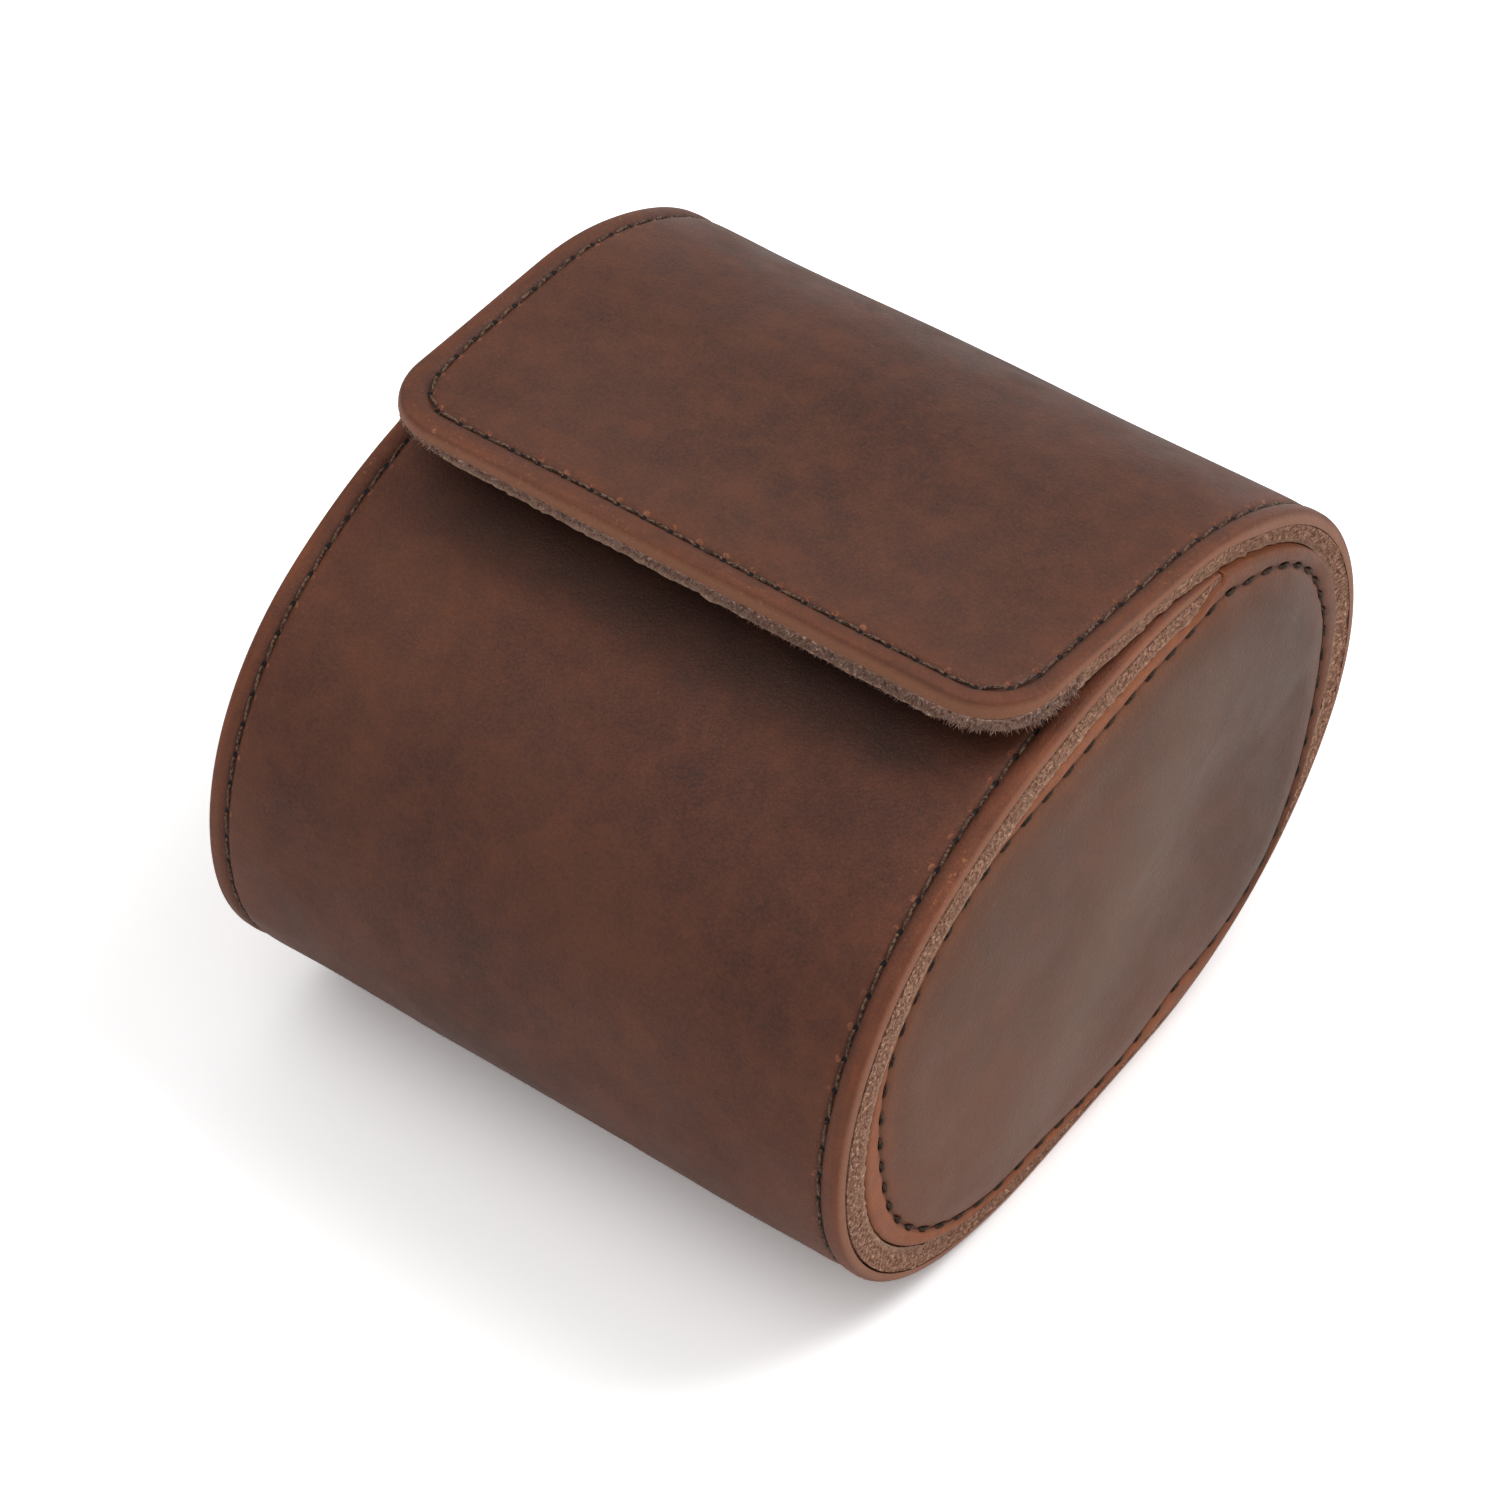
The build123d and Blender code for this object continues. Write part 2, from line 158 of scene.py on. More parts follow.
class Chain:
    """Stretches of the cross-section's outside, each starting where the last one ends."""

    def __init__(self, start: Vector, angle: float, legs: Iterable[Leg]) -> None:
        """Lay the legs end to end.

        Args:
            start: First point, in Y and Z.
            angle: Outward direction there, in degrees.
            legs: Arcs and straight stretches in order.
        """
        self.legs = list(legs)
        self.length = sum(leg.length for leg in self.legs)
        self._starts: list[tuple[float, Vector, float]] = []
        passed, point, turned = 0.0, start, angle
        for leg in self.legs:
            self._starts.append((passed, point, turned))
            point, turned = self._step(leg, point, turned, leg.length, 0.0)
            passed += leg.length

    @staticmethod
    def _step(leg: Leg, point: Vector, angle: float, distance: float, depth: float) -> tuple[Vector, float]:
        """Go along one leg from its start."""
        if math.isinf(leg.radius):
            return point + facing(angle + 90) * distance - facing(angle) * depth, angle
        turned = angle + math.degrees(distance / leg.radius)
        centre = point - facing(angle) * leg.radius
        return centre + facing(turned) * (leg.radius - depth), turned

    def at(self, distance: float, depth: float = 0.0) -> tuple[Vector, float]:
        """Point and outward angle at a place on the chain.

        Args:
            distance: Distance along the outside; past an end, the last leg goes on.
            depth: Depth below the outside.

        Returns:
            The point in Y and Z, and the outward direction in degrees.
        """
        for leg, (passed, point, angle) in zip(reversed(self.legs), reversed(self._starts)):
            if distance >= passed or passed == 0.0:
                return self._step(leg, point, angle, distance - passed, depth)
        raise ValueError("the chain has no legs")


@dataclass(frozen=True)
class Section:
    """Cross-section of the case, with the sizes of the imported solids."""

    crown: tuple[float, float] = (0.0, 72.2)
    front: tuple[float, float] = (-53.2, 30.2)
    stand: tuple[float, float] = (-15.6, 8.0)
    back: tuple[float, float] = (53.2, 39.7)
    front_upper_turn: float = 116.8
    front_lower_turn: float = 251.9
    back_lower_turn: float = 329.4
    shoulder_turn: float = 54.2
    lip_radius: float = 75.0
    lip_reach: float = 23.6
    lip_end_gap: float = 0.5
    hinge_angle: float = -23.0
    flap_top: tuple[float, float] = (16.7, 76.1)
    flap_angle: float = 82.5
    flap_front_reach: float = 16.5
    wrap_depth: float = 4.9
    panel_gap: float = 0.15
    flap_side_depth: float = 4.2
    flap_thin: float = 0.6

    @staticmethod
    def pair(start: Vector, angle: float, end: Vector, end_angle: float, turn: float) -> list[Leg]:
        """Two arcs that meet smoothly where the outside faces the turn angle."""
        first, last, gap = facing(turn) - facing(angle), facing(end_angle) - facing(turn), end - start
        spread = first.cross(last)
        radius, other = gap.cross(last) / spread, first.cross(gap) / spread
        return [
            Leg(radius * math.radians(turn - angle), radius),
            Leg(other * math.radians(end_angle - turn), other),
        ]

    def fixed_legs(self) -> list[Leg]:
        """Front, foot and back, from the crown round to the widest point behind."""
        crown, front, back = Vector(self.crown), Vector(self.front), Vector(self.back)
        stand, stand_end = Vector((self.stand[0], 0)), Vector((self.stand[1], 0))
        return [
            *self.pair(crown, 90, front, 180, self.front_upper_turn),
            *self.pair(front, 180, stand, 270, self.front_lower_turn),
            Leg(self.stand[1] - self.stand[0], math.inf),
            *self.pair(stand_end, 270, back, 360, self.back_lower_turn),
        ]

    def wrap(self) -> Chain:
        """Wrap, from the lip under the flap round to the hinge."""
        lip_angle = math.degrees(math.acos(self.lip_reach / self.lip_radius))
        centre = Vector(self.crown) - Vector((0, self.lip_radius))
        lip = Leg(math.radians(90 - lip_angle) * self.lip_radius, self.lip_radius)
        *legs, last = self.fixed_legs()
        tail = Leg(last.length + math.radians(self.hinge_angle) * last.radius, last.radius)
        return Chain(centre + facing(lip_angle) * self.lip_radius, lip_angle, [lip, *legs, tail])

    def flap(self) -> Chain:
        """Flap, from the hinge over the shoulder to its front edge."""
        side = self.fixed_legs()[-1]
        centre = Vector(self.back) - Vector((side.radius, 0))
        tongue = Leg(-math.radians(self.hinge_angle) * side.radius, side.radius)
        shoulder = self.pair(Vector(self.back), 0, Vector(self.flap_top), self.flap_angle, self.shoulder_turn)
        run = (self.flap_top[0] + self.flap_front_reach) / math.cos(math.radians(90 - self.flap_angle))
        start = centre + facing(self.hinge_angle) * side.radius
        return Chain(start, self.hinge_angle, [tongue, *shoulder, Leg(run, math.inf)])

    @cached_property
    def flap_length(self) -> float:
        """Length of the flap from the hinge to its front edge."""
        return self.flap().length

    @staticmethod
    def taper(distance: float) -> float:
        """Share of the full thickness near the lip, which is pared down to a thin edge."""
        return 0.15 + 0.65 * smooth(0, 6, distance) + 0.2 * smooth(10, 55, distance)

    @staticmethod
    def lift(distance: float) -> float:
        """How far the lip's ends curl up towards the flap."""
        return smooth(34, 5, distance) + 0.7 * smooth(20, 4, distance)

    def flap_under(self, distance: float, inset: float) -> float:
        """Depth of the flap's underside, at a distance from the hinge and an inset from the pared side."""
        pared = smooth(0, 12, distance) * smooth(12, 9, inset)
        ahead = distance - self.flap_length
        thin = self.flap_thin * smooth(-41, -33, ahead) * smooth(-20, -29, ahead)
        return self.wrap_depth - (self.wrap_depth - self.flap_side_depth + thin) * pared

    def panel_outline(self) -> list[Vector]:
        """Outline of the end panels, which follows the pared lip and then the flap above it."""
        wrap, flap = self.wrap(), self.flap()
        under = [
            wrap.at(d, self.wrap_depth * self.taper(d) - self.lift(d) + self.panel_gap)[0]
            for d in spaced(0.0, wrap.length, 0.5)
        ]
        over = [flap.at(d, self.flap_under(d, 0.0) + self.panel_gap)[0] for d in spaced(0.5, flap.length, 0.5)]
        return under + [p for p in over if p.x > self.lip_reach + self.lip_end_gap]


# Finishes


def add(tree: NodeTree, kind: str, settings: dict | None = None, **links: object) -> Node:
    """Add a node with its settings and links.

    Args:
        tree: Node tree of the material or world.
        kind: Blender's type name for the node.
        settings: Attributes of the node.
        **links: Values, sockets or nodes for its inputs, named with _ for a space or numbered as in_0.

    Returns:
        The new node.
    """
    made = tree.nodes.new(kind)
    for name, value in (settings or {}).items():
        setattr(made, name, value)
    for name, value in links.items():
        socket = made.inputs[int(name[3:])] if name.startswith("in_") else made.inputs[name.replace("_", " ")]
        if isinstance(value, Node):
            value = value.outputs[0]
        if isinstance(value, NodeSocket):
            tree.links.new(value, socket)
        else:
            socket.default_value = value
    return made


def span(low: float, high: float, least: float = 0.0, most: float = 1.0) -> dict[str, float]:
    """Inputs of a step that goes from least at low to most at high."""
    return {"From_Min": low, "From_Max": high, "To_Min": least, "To_Max": most}


@dataclass(frozen=True)
class Patches:
    """Irregular patches of a real size in millimetres, each with soft borders."""

    size: float
    detail: float
    rough: float
    low: float
    high: float
    least: float = 0.0
    most: float = 1.0

    def build(self, tree: NodeTree, place: NodeSocket) -> Node:
        """Add noise and the step that cuts it into patches."""
        scale = 1000.0 / self.size
        cloud = add(tree, "ShaderNodeTexNoise", Vector=place, Scale=scale, Detail=self.detail, Roughness=self.rough)
        bounds = span(self.low, self.high, self.least, self.most)
        return add(tree, "ShaderNodeMapRange", SMOOTH_STEP, Value=cloud, **bounds)


@dataclass(frozen=True)
class Layer:
    """Colour that lies over another one: in patches, where the leather carries a mark, or both."""

    tint: str
    patches: tuple[Patches, ...] = ()
    mark: str = ""

    def over(self, tree: NodeTree, place: NodeSocket, colour: object, share: Node | None = None) -> NodeSocket:
        """Lay it over a colour.

        Args:
            tree: Node tree of the material.
            place: Object coordinates.
            colour: Colour below, or its socket.
            share: Node that tells how much of the layer shows, over all its own patches and marks.

        Returns:
            Socket of the new colour.
        """
        shares = [share] if share else []
        if self.mark:
            shares.append(add(tree, "ShaderNodeAttribute", {"attribute_name": self.mark}).outputs["Fac"])
        shares += [patch.build(tree, place) for patch in self.patches]
        total = shares[0]
        for other in shares[1:]:
            total = add(tree, "ShaderNodeMath", {"operation": "MULTIPLY"}, in_0=total, in_1=other)
        mixed = add(tree, "ShaderNodeMix", {"data_type": "RGBA"}, in_0=total, in_6=colour, in_7=linear(self.tint))
        return mixed.outputs[2]


@dataclass(frozen=True)
class Finish:
    """What every finish shares: a name, and how its material is put together."""

    name: str

    def material(self) -> Material:
        """Make the material."""
        material = bpy.data.materials.new(self.name)
        material.use_nodes = True
        tree = material.node_tree
        tree.nodes.clear()
        place = add(tree, "ShaderNodeTexCoord").outputs["Object"]
        shader = add(tree, "ShaderNodeBsdfPrincipled", **self.inputs(tree, place))
        add(tree, "ShaderNodeOutputMaterial", Surface=shader)
        return material

    def inputs(self, tree: NodeTree, place: NodeSocket) -> dict[str, object]:
        """Build the patterns and return the shader's inputs."""
        raise NotImplementedError


@dataclass(frozen=True)
class OiledLeather(Finish):
    """Oiled full-grain cowhide, dyed brown and waxed: cloudy, lighter where it is bent or rubbed."""

    body: str = "#553326"
    deep: str = "#422720"
    worn: str = "#84492e"
    crease_shade: str = "#24140e"
    bloom: str = "#b07a5e"
    gloss: float = 0.52
    shine: float = 0.3
    hole: tuple[float, float] = (0.55, 0.45)
    nub: float = 0.7
    mottle: float = 0.26
    pebbles_per_metre: float = 1700.0

    def spot(self, tree: NodeTree, shift: float, long: float, wide: float) -> Node:
        """Closeness to an oval by each awl hole, from the marks that tell how far a point is from one.

        Args:
            tree: Node tree of the leather.
            shift: How far the oval lies inside the stitch row, in millimetres.
            long: Its half length along the row.
            wide: Its half width.

        Returns:
            Node with 1 at the oval's middle and 0 outside it.
        """
        along, aside = (
            add(tree, "ShaderNodeAttribute", {"attribute_name": name}).outputs["Fac"] for name in ("along", "aside")
        )
        place = add(tree, "ShaderNodeCombineXYZ", X=along, Y=aside)
        moved = add(tree, "ShaderNodeVectorMath", {"operation": "SUBTRACT"}, in_0=place, in_1=(0, shift, 0))
        scaled = add(tree, "ShaderNodeVectorMath", {"operation": "DIVIDE"}, in_0=moved, in_1=(long, wide, 1))
        reach = add(tree, "ShaderNodeVectorMath", {"operation": "LENGTH"}, in_0=scaled).outputs["Value"]
        return add(tree, "ShaderNodeMapRange", SMOOTH_STEP, Value=reach, **span(1.0, 0.6))

    def layers(self) -> tuple[Layer, ...]:
        """Clouds of dye, mottling, flecks, wear with small specks of undyed leather, and the marked places: a pale
        edge with painted highlight and sheen, and painted shade.
        """
        return (
            Layer(self.body, (Patches(38.0, 3.0, 0.55, 0.36, 0.64),)),
            Layer(self.worn, (Patches(5.0, 5.0, 0.65, 0.35, 0.75, 0.0, self.mottle),)),
            Layer(self.worn, (Patches(0.5, 3.0, 0.8, 0.3, 0.7, 0.0, self.mottle),)),
            Layer("#9a6a4c", (Patches(0.9, 3.0, 0.8, 0.68, 0.8, 0.0, 0.45),)),
            Layer(self.worn, (Patches(2.2, 5.0, 0.7, 0.3, 0.65, 0.55, 1.0),), "worn"),
            Layer(
                "#b97c50", (Patches(0.7, 4.0, 0.85, 0.57, 0.66, 0.0, 0.8), Patches(22.0, 2.0, 0.5, 0.42, 0.62)), "worn"
            ),
            # Pale edge and painted sheen, where that mark is
            Layer(self.bloom, mark="bloom"),
            # Painted shade: a near-black mixed in where the shade mark is
            Layer("#140b08", mark="shade"),
        )

    def inputs(self, tree: NodeTree, place: NodeSocket) -> dict[str, object]:
        """Build the layers, the crease and the awl holes, both darkened with painted shade, the leather pushed up
        beside the holes, and a pebbled grain.
        """
        colour: object = linear(self.deep)
        for layer in self.layers():
            colour = layer.over(tree, place, colour)
        # Painted shade: a dark soft line in the crease along the stitch row
        aside = add(tree, "ShaderNodeAttribute", {"attribute_name": "aside"}).outputs["Fac"]
        away = add(tree, "ShaderNodeMath", {"operation": "ABSOLUTE"}, in_0=aside)
        crease = add(tree, "ShaderNodeMapRange", SMOOTH_STEP, Value=away, **span(0.6, 0.05, 0.0, 0.5))
        colour = Layer(self.crease_shade).over(tree, place, colour, crease)
        uneven = Patches(1.3, 5.0, 0.8, 0.42, 0.6, 0.0, self.nub).build(tree, place)
        nubs, holes = self.spot(tree, 0.62, 0.6, 0.42), self.spot(tree, 0.0, *self.hole)
        raised = add(tree, "ShaderNodeMath", {"operation": "MULTIPLY"}, in_0=nubs, in_1=uneven)
        colour = Layer("#a5664a").over(tree, place, colour, raised)
        # Painted shade: the awl holes, and the panels' longer slots, are drawn near-black
        colour = Layer("#120a07").over(tree, place, colour, holes)
        rough = Patches(9.0, 4.0, 0.6, 0.3, 0.7, self.gloss - 0.05, self.gloss + 0.07).build(tree, place)
        # The grain's pebbles are drawn about 0.6 mm wide, coarser than real ones, so that they show
        cells = {"feature": "DISTANCE_TO_EDGE"}
        pores = add(tree, "ShaderNodeTexVoronoi", cells, Vector=place, Scale=self.pebbles_per_metre)
        pebbles = add(tree, "ShaderNodeMapRange", SMOOTH_STEP, Value=pores, **span(0.0, 0.12))
        height = add(tree, "ShaderNodeTexNoise", Vector=place, Scale=1000.0 / 0.9, Detail=5.0, Roughness=0.7)
        for value, amount in ((pebbles, 0.35), (raised, 2.2), (holes, -2.0)):
            height = add(tree, "ShaderNodeMath", {"operation": "MULTIPLY_ADD"}, in_0=value, in_1=amount, in_2=height)
        relief = add(tree, "ShaderNodeBump", Height=height, Strength=0.5, Distance=0.22 * MM)
        surface = {"Base_Color": colour, "Roughness": rough, "Normal": relief}
        return surface | {"IOR": 1.47, "Specular_IOR_Level": self.shine}


@dataclass(frozen=True)
class CutLeather(Finish):
    """Cut edge of cowhide, undyed inside: pale, matt and fibrous."""

    pale: str = "#e9b396"
    dark: str = "#88543d"
    pit: str = "#42241a"
    # Pale colour of the painted highlight along the cut edge's rim
    ridge: str = "#eec3a6"

    def inputs(self, tree: NodeTree, place: NodeSocket) -> dict[str, object]:
        """Build tufts of fibres with dark specks, and a painted highlight along the marked rim; the tufts are drawn
        coarser than real fibres, so as to show.
        """
        tufts = Patches(0.5, 6.0, 0.85, 0.37, 0.6).build(tree, place)
        colour = Layer(self.pale).over(tree, place, linear(self.dark), tufts)
        colour = Layer(self.pit, (Patches(0.7, 6.0, 0.85, 0.45, 0.38, 0.0, 0.7),)).over(tree, place, colour)
        # Painted highlight along the rim that the lining marks
        colour = Layer(self.ridge, mark="worn").over(tree, place, colour)
        relief = add(tree, "ShaderNodeBump", Height=tufts, Strength=0.9, Distance=0.3 * MM)
        return {"Base_Color": colour, "Roughness": 0.95, "Specular_IOR_Level": 0.2, "Normal": relief}


@dataclass(frozen=True)
class PlainFinish(Finish):
    """Plain finish for linings, boards, metal discs and thread: a mottled colour with a fine bump."""

    first: str
    second: str
    rough: float
    metal: float = 0.0
    size: float = 0.5
    height: float = 0.1
    shine: float = 0.3

    def inputs(self, tree: NodeTree, place: NodeSocket) -> dict[str, object]:
        """Build the finish from one noise."""
        value = add(tree, "ShaderNodeTexNoise", Vector=place, Scale=1000.0 / self.size, Detail=4.0, Roughness=0.6)
        share = add(tree, "ShaderNodeMapRange", SMOOTH_STEP, Value=value, **span(0.35, 0.65))
        colour = Layer(self.second).over(tree, place, linear(self.first), share)
        relief = add(tree, "ShaderNodeBump", Height=value, Strength=0.5, Distance=self.height * MM)
        surface = {"Base_Color": colour, "Roughness": self.rough, "Normal": relief}
        return surface | {"Metallic": self.metal, "Specular_IOR_Level": self.shine}


# Work in leather


def grid(columns: int, rows: int) -> BMesh:
    """Flat grid whose points carry their column and row as X and Y."""
    sheet = bmesh.new()
    for name in (*MARKS, "station"):
        sheet.verts.layers.float.new(name)
    bmesh.ops.create_grid(sheet, x_segments=columns, y_segments=rows, size=0.5)
    for vert in sheet.verts:
        vert.co = Vector((round((vert.co.x + 0.5) * columns), round((vert.co.y + 0.5) * rows), 0))
    return sheet


def close(sheet: BMesh) -> None:
    """Join the points that lie on each other and turn all faces outward."""
    bmesh.ops.remove_doubles(sheet, verts=sheet.verts[:], dist=1e-6)
    bmesh.ops.recalc_face_normals(sheet, faces=sheet.faces[:])


def piece(sheet: BMesh, name: str, materials: Iterable[Material], slot: str, *replaced: str) -> Object:
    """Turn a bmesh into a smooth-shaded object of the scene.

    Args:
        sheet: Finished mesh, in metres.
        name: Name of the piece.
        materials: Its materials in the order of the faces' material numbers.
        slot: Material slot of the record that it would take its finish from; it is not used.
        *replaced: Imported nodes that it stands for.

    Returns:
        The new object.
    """
    mesh = bpy.data.meshes.new(name)
    sheet.to_mesh(mesh)
    sheet.free()
    mesh.polygons.foreach_set("use_smooth", [True] * len(mesh.polygons))
    mesh.set_sharp_from_angle(angle=math.radians(SHARP_ANGLE))
    thing = bpy.data.objects.new(name, mesh)
    bpy.context.scene.collection.objects.link(thing)
    for material in materials:
        mesh.materials.append(material)
    if replaced:
        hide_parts(*replaced)
    LOG.info("%s: %d points, %d faces", name, len(mesh.vertices), len(mesh.polygons))
    return thing


def thicken(sheet: BMesh, under: Callable[[Vector], float], steps: int = 1) -> None:
    """Give a flat sheet its thickness below, with its cut edge in steps and its underside as second material.

    Args:
        sheet: Flat sheet with its top at its own heights.
        under: Function that tells how deep the underside lies at a point.
        steps: How many strips its cut edge has.
    """
    grown = bmesh.ops.extrude_face_region(sheet, geom=sheet.faces[:])
    lower = {item for item in grown["geom"] if isinstance(item, BMVert)}
    for vert in lower:
        vert.co.z = -under(vert.co)
    for face in sheet.faces:
        face.material_index = int(all(vert in lower for vert in face.verts))
    if steps > 1:
        walls = [e for e in sheet.edges if (e.verts[0] in lower) != (e.verts[1] in lower)]
        bmesh.ops.subdivide_edges(sheet, edges=walls, cuts=steps - 1, use_grid_fill=True)
    bmesh.ops.recalc_face_normals(sheet, faces=sheet.faces[:])


def write_marks(sheet: BMesh, marks: Callable[[BMVert], dict[str, float]]) -> None:
    """Write named values, which a function gives for each point, on a mesh."""
    layers = {name: sheet.verts.layers.float[name] for name in MARKS}
    for vert in sheet.verts:
        for name, value in marks(vert).items():
            vert[layers[name]] = value


@dataclass(frozen=True)
class Stitching:
    """Saddle stitches of waxed thread in a crease."""

    pitch: float = 4.0
    inset: float = 3.0
    thread: float = 0.21
    sink: float = 0.24
    cover: float = 0.47
    stations: int = 6
    sides: int = 6
    rows: tuple[float, ...] = (-1.0, -1.0, -0.86, -0.62, -0.22, 0.22, 0.62, 0.86, 1.0, 1.0)

    def count(self, length: float) -> int:
        """How many stitches fit a length."""
        return round(length / self.pitch)

    def row(self, places: Triples) -> BMesh:
        """Make a row of stitches as one mesh, from each one's two holes and the way out of the leather."""
        row = bmesh.new()
        for number, (first, last, out) in enumerate(places):
            self._stitch(row, first, last, out, number)
        close(row)
        return row

    def _stitch(self, row: BMesh, first: Vector, last: Vector, out: Vector, number: int) -> None:
        """Add one stitch: a bar of two plies, rolled up from a small grid, that dives into its holes."""
        along = last - first
        side = out.cross(along).normalized()
        lean = (0.035 + 0.03 * (number * 0.618 % 1.0)) * along.length
        ends = len(self.rows) - 1
        made = bmesh.ops.create_grid(row, x_segments=self.sides, y_segments=ends, size=0.5)
        for vert in made["verts"]:
            line = round((vert.co.y + 0.5) * ends)
            share, angle = self.rows[line], 2 * math.pi * round((vert.co.x + 0.5) * self.sides) / self.sides
            ply = 1 + 0.18 * math.cos(2 * (angle + share * 2.6))
            reach = 0.0 if line in (0, ends) else self.thread * MM * ply * (1 - 0.25 * abs(share) ** 4)
            dive = abs(share) ** 3 * 0.55 * MM
            centre = (first + last) / 2 + along * share * self.cover + side * lean * share
            around = side * math.cos(angle) + out * math.sin(angle)
            vert.co = centre - out * (self.sink * MM + dive) + around * reach


@dataclass(frozen=True)
class Edging:
    """Rounded, creased and pricked border that wrap and flap share."""

    stitching: Stitching
    thickness: float = 2.2
    pared: float = 1.4
    rounding: float = 0.8
    crease: float = 0.34
    wear: float = 0.85
    insets: tuple[float, ...] = (
        0, 0.027, 0.107, 0.234, 0.4, 0.593, 0.8, 1.1, 1.5, 1.9, 2.25, 2.55, 2.8, 3.0, 3.2, 3.45, 3.7, 3.95, 4.25, 4.6,
        5.2, 6.5, 9.5,
    )

    def under(self, inset: float, edge: float) -> float:
        """Depth of the sheet's underside, which is pared towards the edge to a depth of its own."""
        return self.thickness - (self.thickness - edge) * smooth(4.0, 0.0, inset)

    def depth(self, inset: float, from_hole: float, row: float, edge: float) -> float:
        """Depth of the grain side near the edge.

        Args:
            inset: Distance from the cut edge.
            from_hole: Distance along the row from the nearest hole.
            row: Distance of the row from the edge.
            edge: Thickness that is left at the edge.
        """
        depth = 0.0
        if inset < self.rounding:
            fall = 1 - inset / self.rounding
            depth = 0.96 * edge * (1 - math.sqrt(max(1 - fall * fall, 0.0)))
        hole = bump(from_hole, 0, 0.55)
        depth += self.crease * bump(inset, row, 0.5) + 0.14 * bump(inset, row, 1.3)
        depth += 0.2 * hole * bump(inset, row, 0.4) - 0.1 * bump(inset, row * 0.6, 0.8)
        return depth - 0.1 * hole * bump(inset, row + 0.6, 0.35)

    def marks(self, inset: float, distance: float, from_hole: float, row: float) -> dict[str, float]:
        """Marks that the finish reads: distances from the nearest hole, wear, and a pale rim at the cut edge that is
        partly a painted highlight.

        Args:
            inset: Distance from the cut edge.
            distance: Distance along the edge.
            from_hole: Distance along the row from the nearest hole.
            row: Distance of the row from the edge.
        """
        worn = self.wear * smooth(row + 0.3, 0.5, inset)
        worn *= 0.85 + 0.5 * wave(distance * 0.1, inset * 1.5, 9.0)
        if inset > row:
            worn += 0.28 * math.exp(-(inset - row) / 4.5)
        marks = {"along": abs(from_hole), "aside": inset - row, "worn": min(max(worn, 0.0), 1.0)}
        # The pale rim at the very edge is partly the cut fibre showing and partly a painted highlight
        return marks | {"bloom": 0.45 * smooth(0.4, 0.05, inset)}


@dataclass(frozen=True)
class Fibres:
    """Loose fibres that stand out of a cut edge."""

    length: float
    width: float
    tip: float = 0.012
    seed: int = 11

    def tufts(self, roots: Triples) -> BMesh:
        """Grow one thin fibre at each root, from its foot, the way out and the way that it may lean."""
        chance = random.Random(self.seed)
        tufts = bmesh.new()
        for foot, out, lean in roots:
            length = self.length * chance.uniform(0.35, 1.25) * out.length * MM
            way = (out + lean * chance.gauss(0, 0.35) + out.cross(lean) * chance.gauss(0, 0.35)).normalized()
            turn = way.to_track_quat("Z", "Y").to_matrix().to_4x4()
            matrix = Matrix.Translation(foot + way * length / 2) @ turn
            bmesh.ops.create_cone(
                tufts, segments=3, radius1=self.width * MM, radius2=self.tip * MM, depth=length, matrix=matrix
            )
        return tufts


@dataclass
class Leatherwork:
    """What wrap and flap share: two sheets, made flat and then placed round a chain."""

    section: Section
    stitching: Stitching
    edging: Edging
    length: float = 95.0
    lining_top: float = 2.9
    glue: float = 0.1
    chain: Chain = field(init=False)

    @property
    def half(self) -> float:
        """Half the sheet's length along the case."""
        return self.length / 2

    def place(self, x: float, distance: float, depth: float) -> Vector:
        """Place a point of the flat sheet in space."""
        raise NotImplementedError

    def settle(self, sheet: BMesh) -> None:
        """Place all points of a flat sheet in space."""
        for vert in sheet.verts:
            vert.co = self.place(vert.co.x, vert.co.y, -vert.co.z)

    def out(self, distance: float) -> Vector:
        """Direction out of the leather."""
        way = facing(self.chain.at(distance)[1])
        return Vector((0, way.x, way.y))


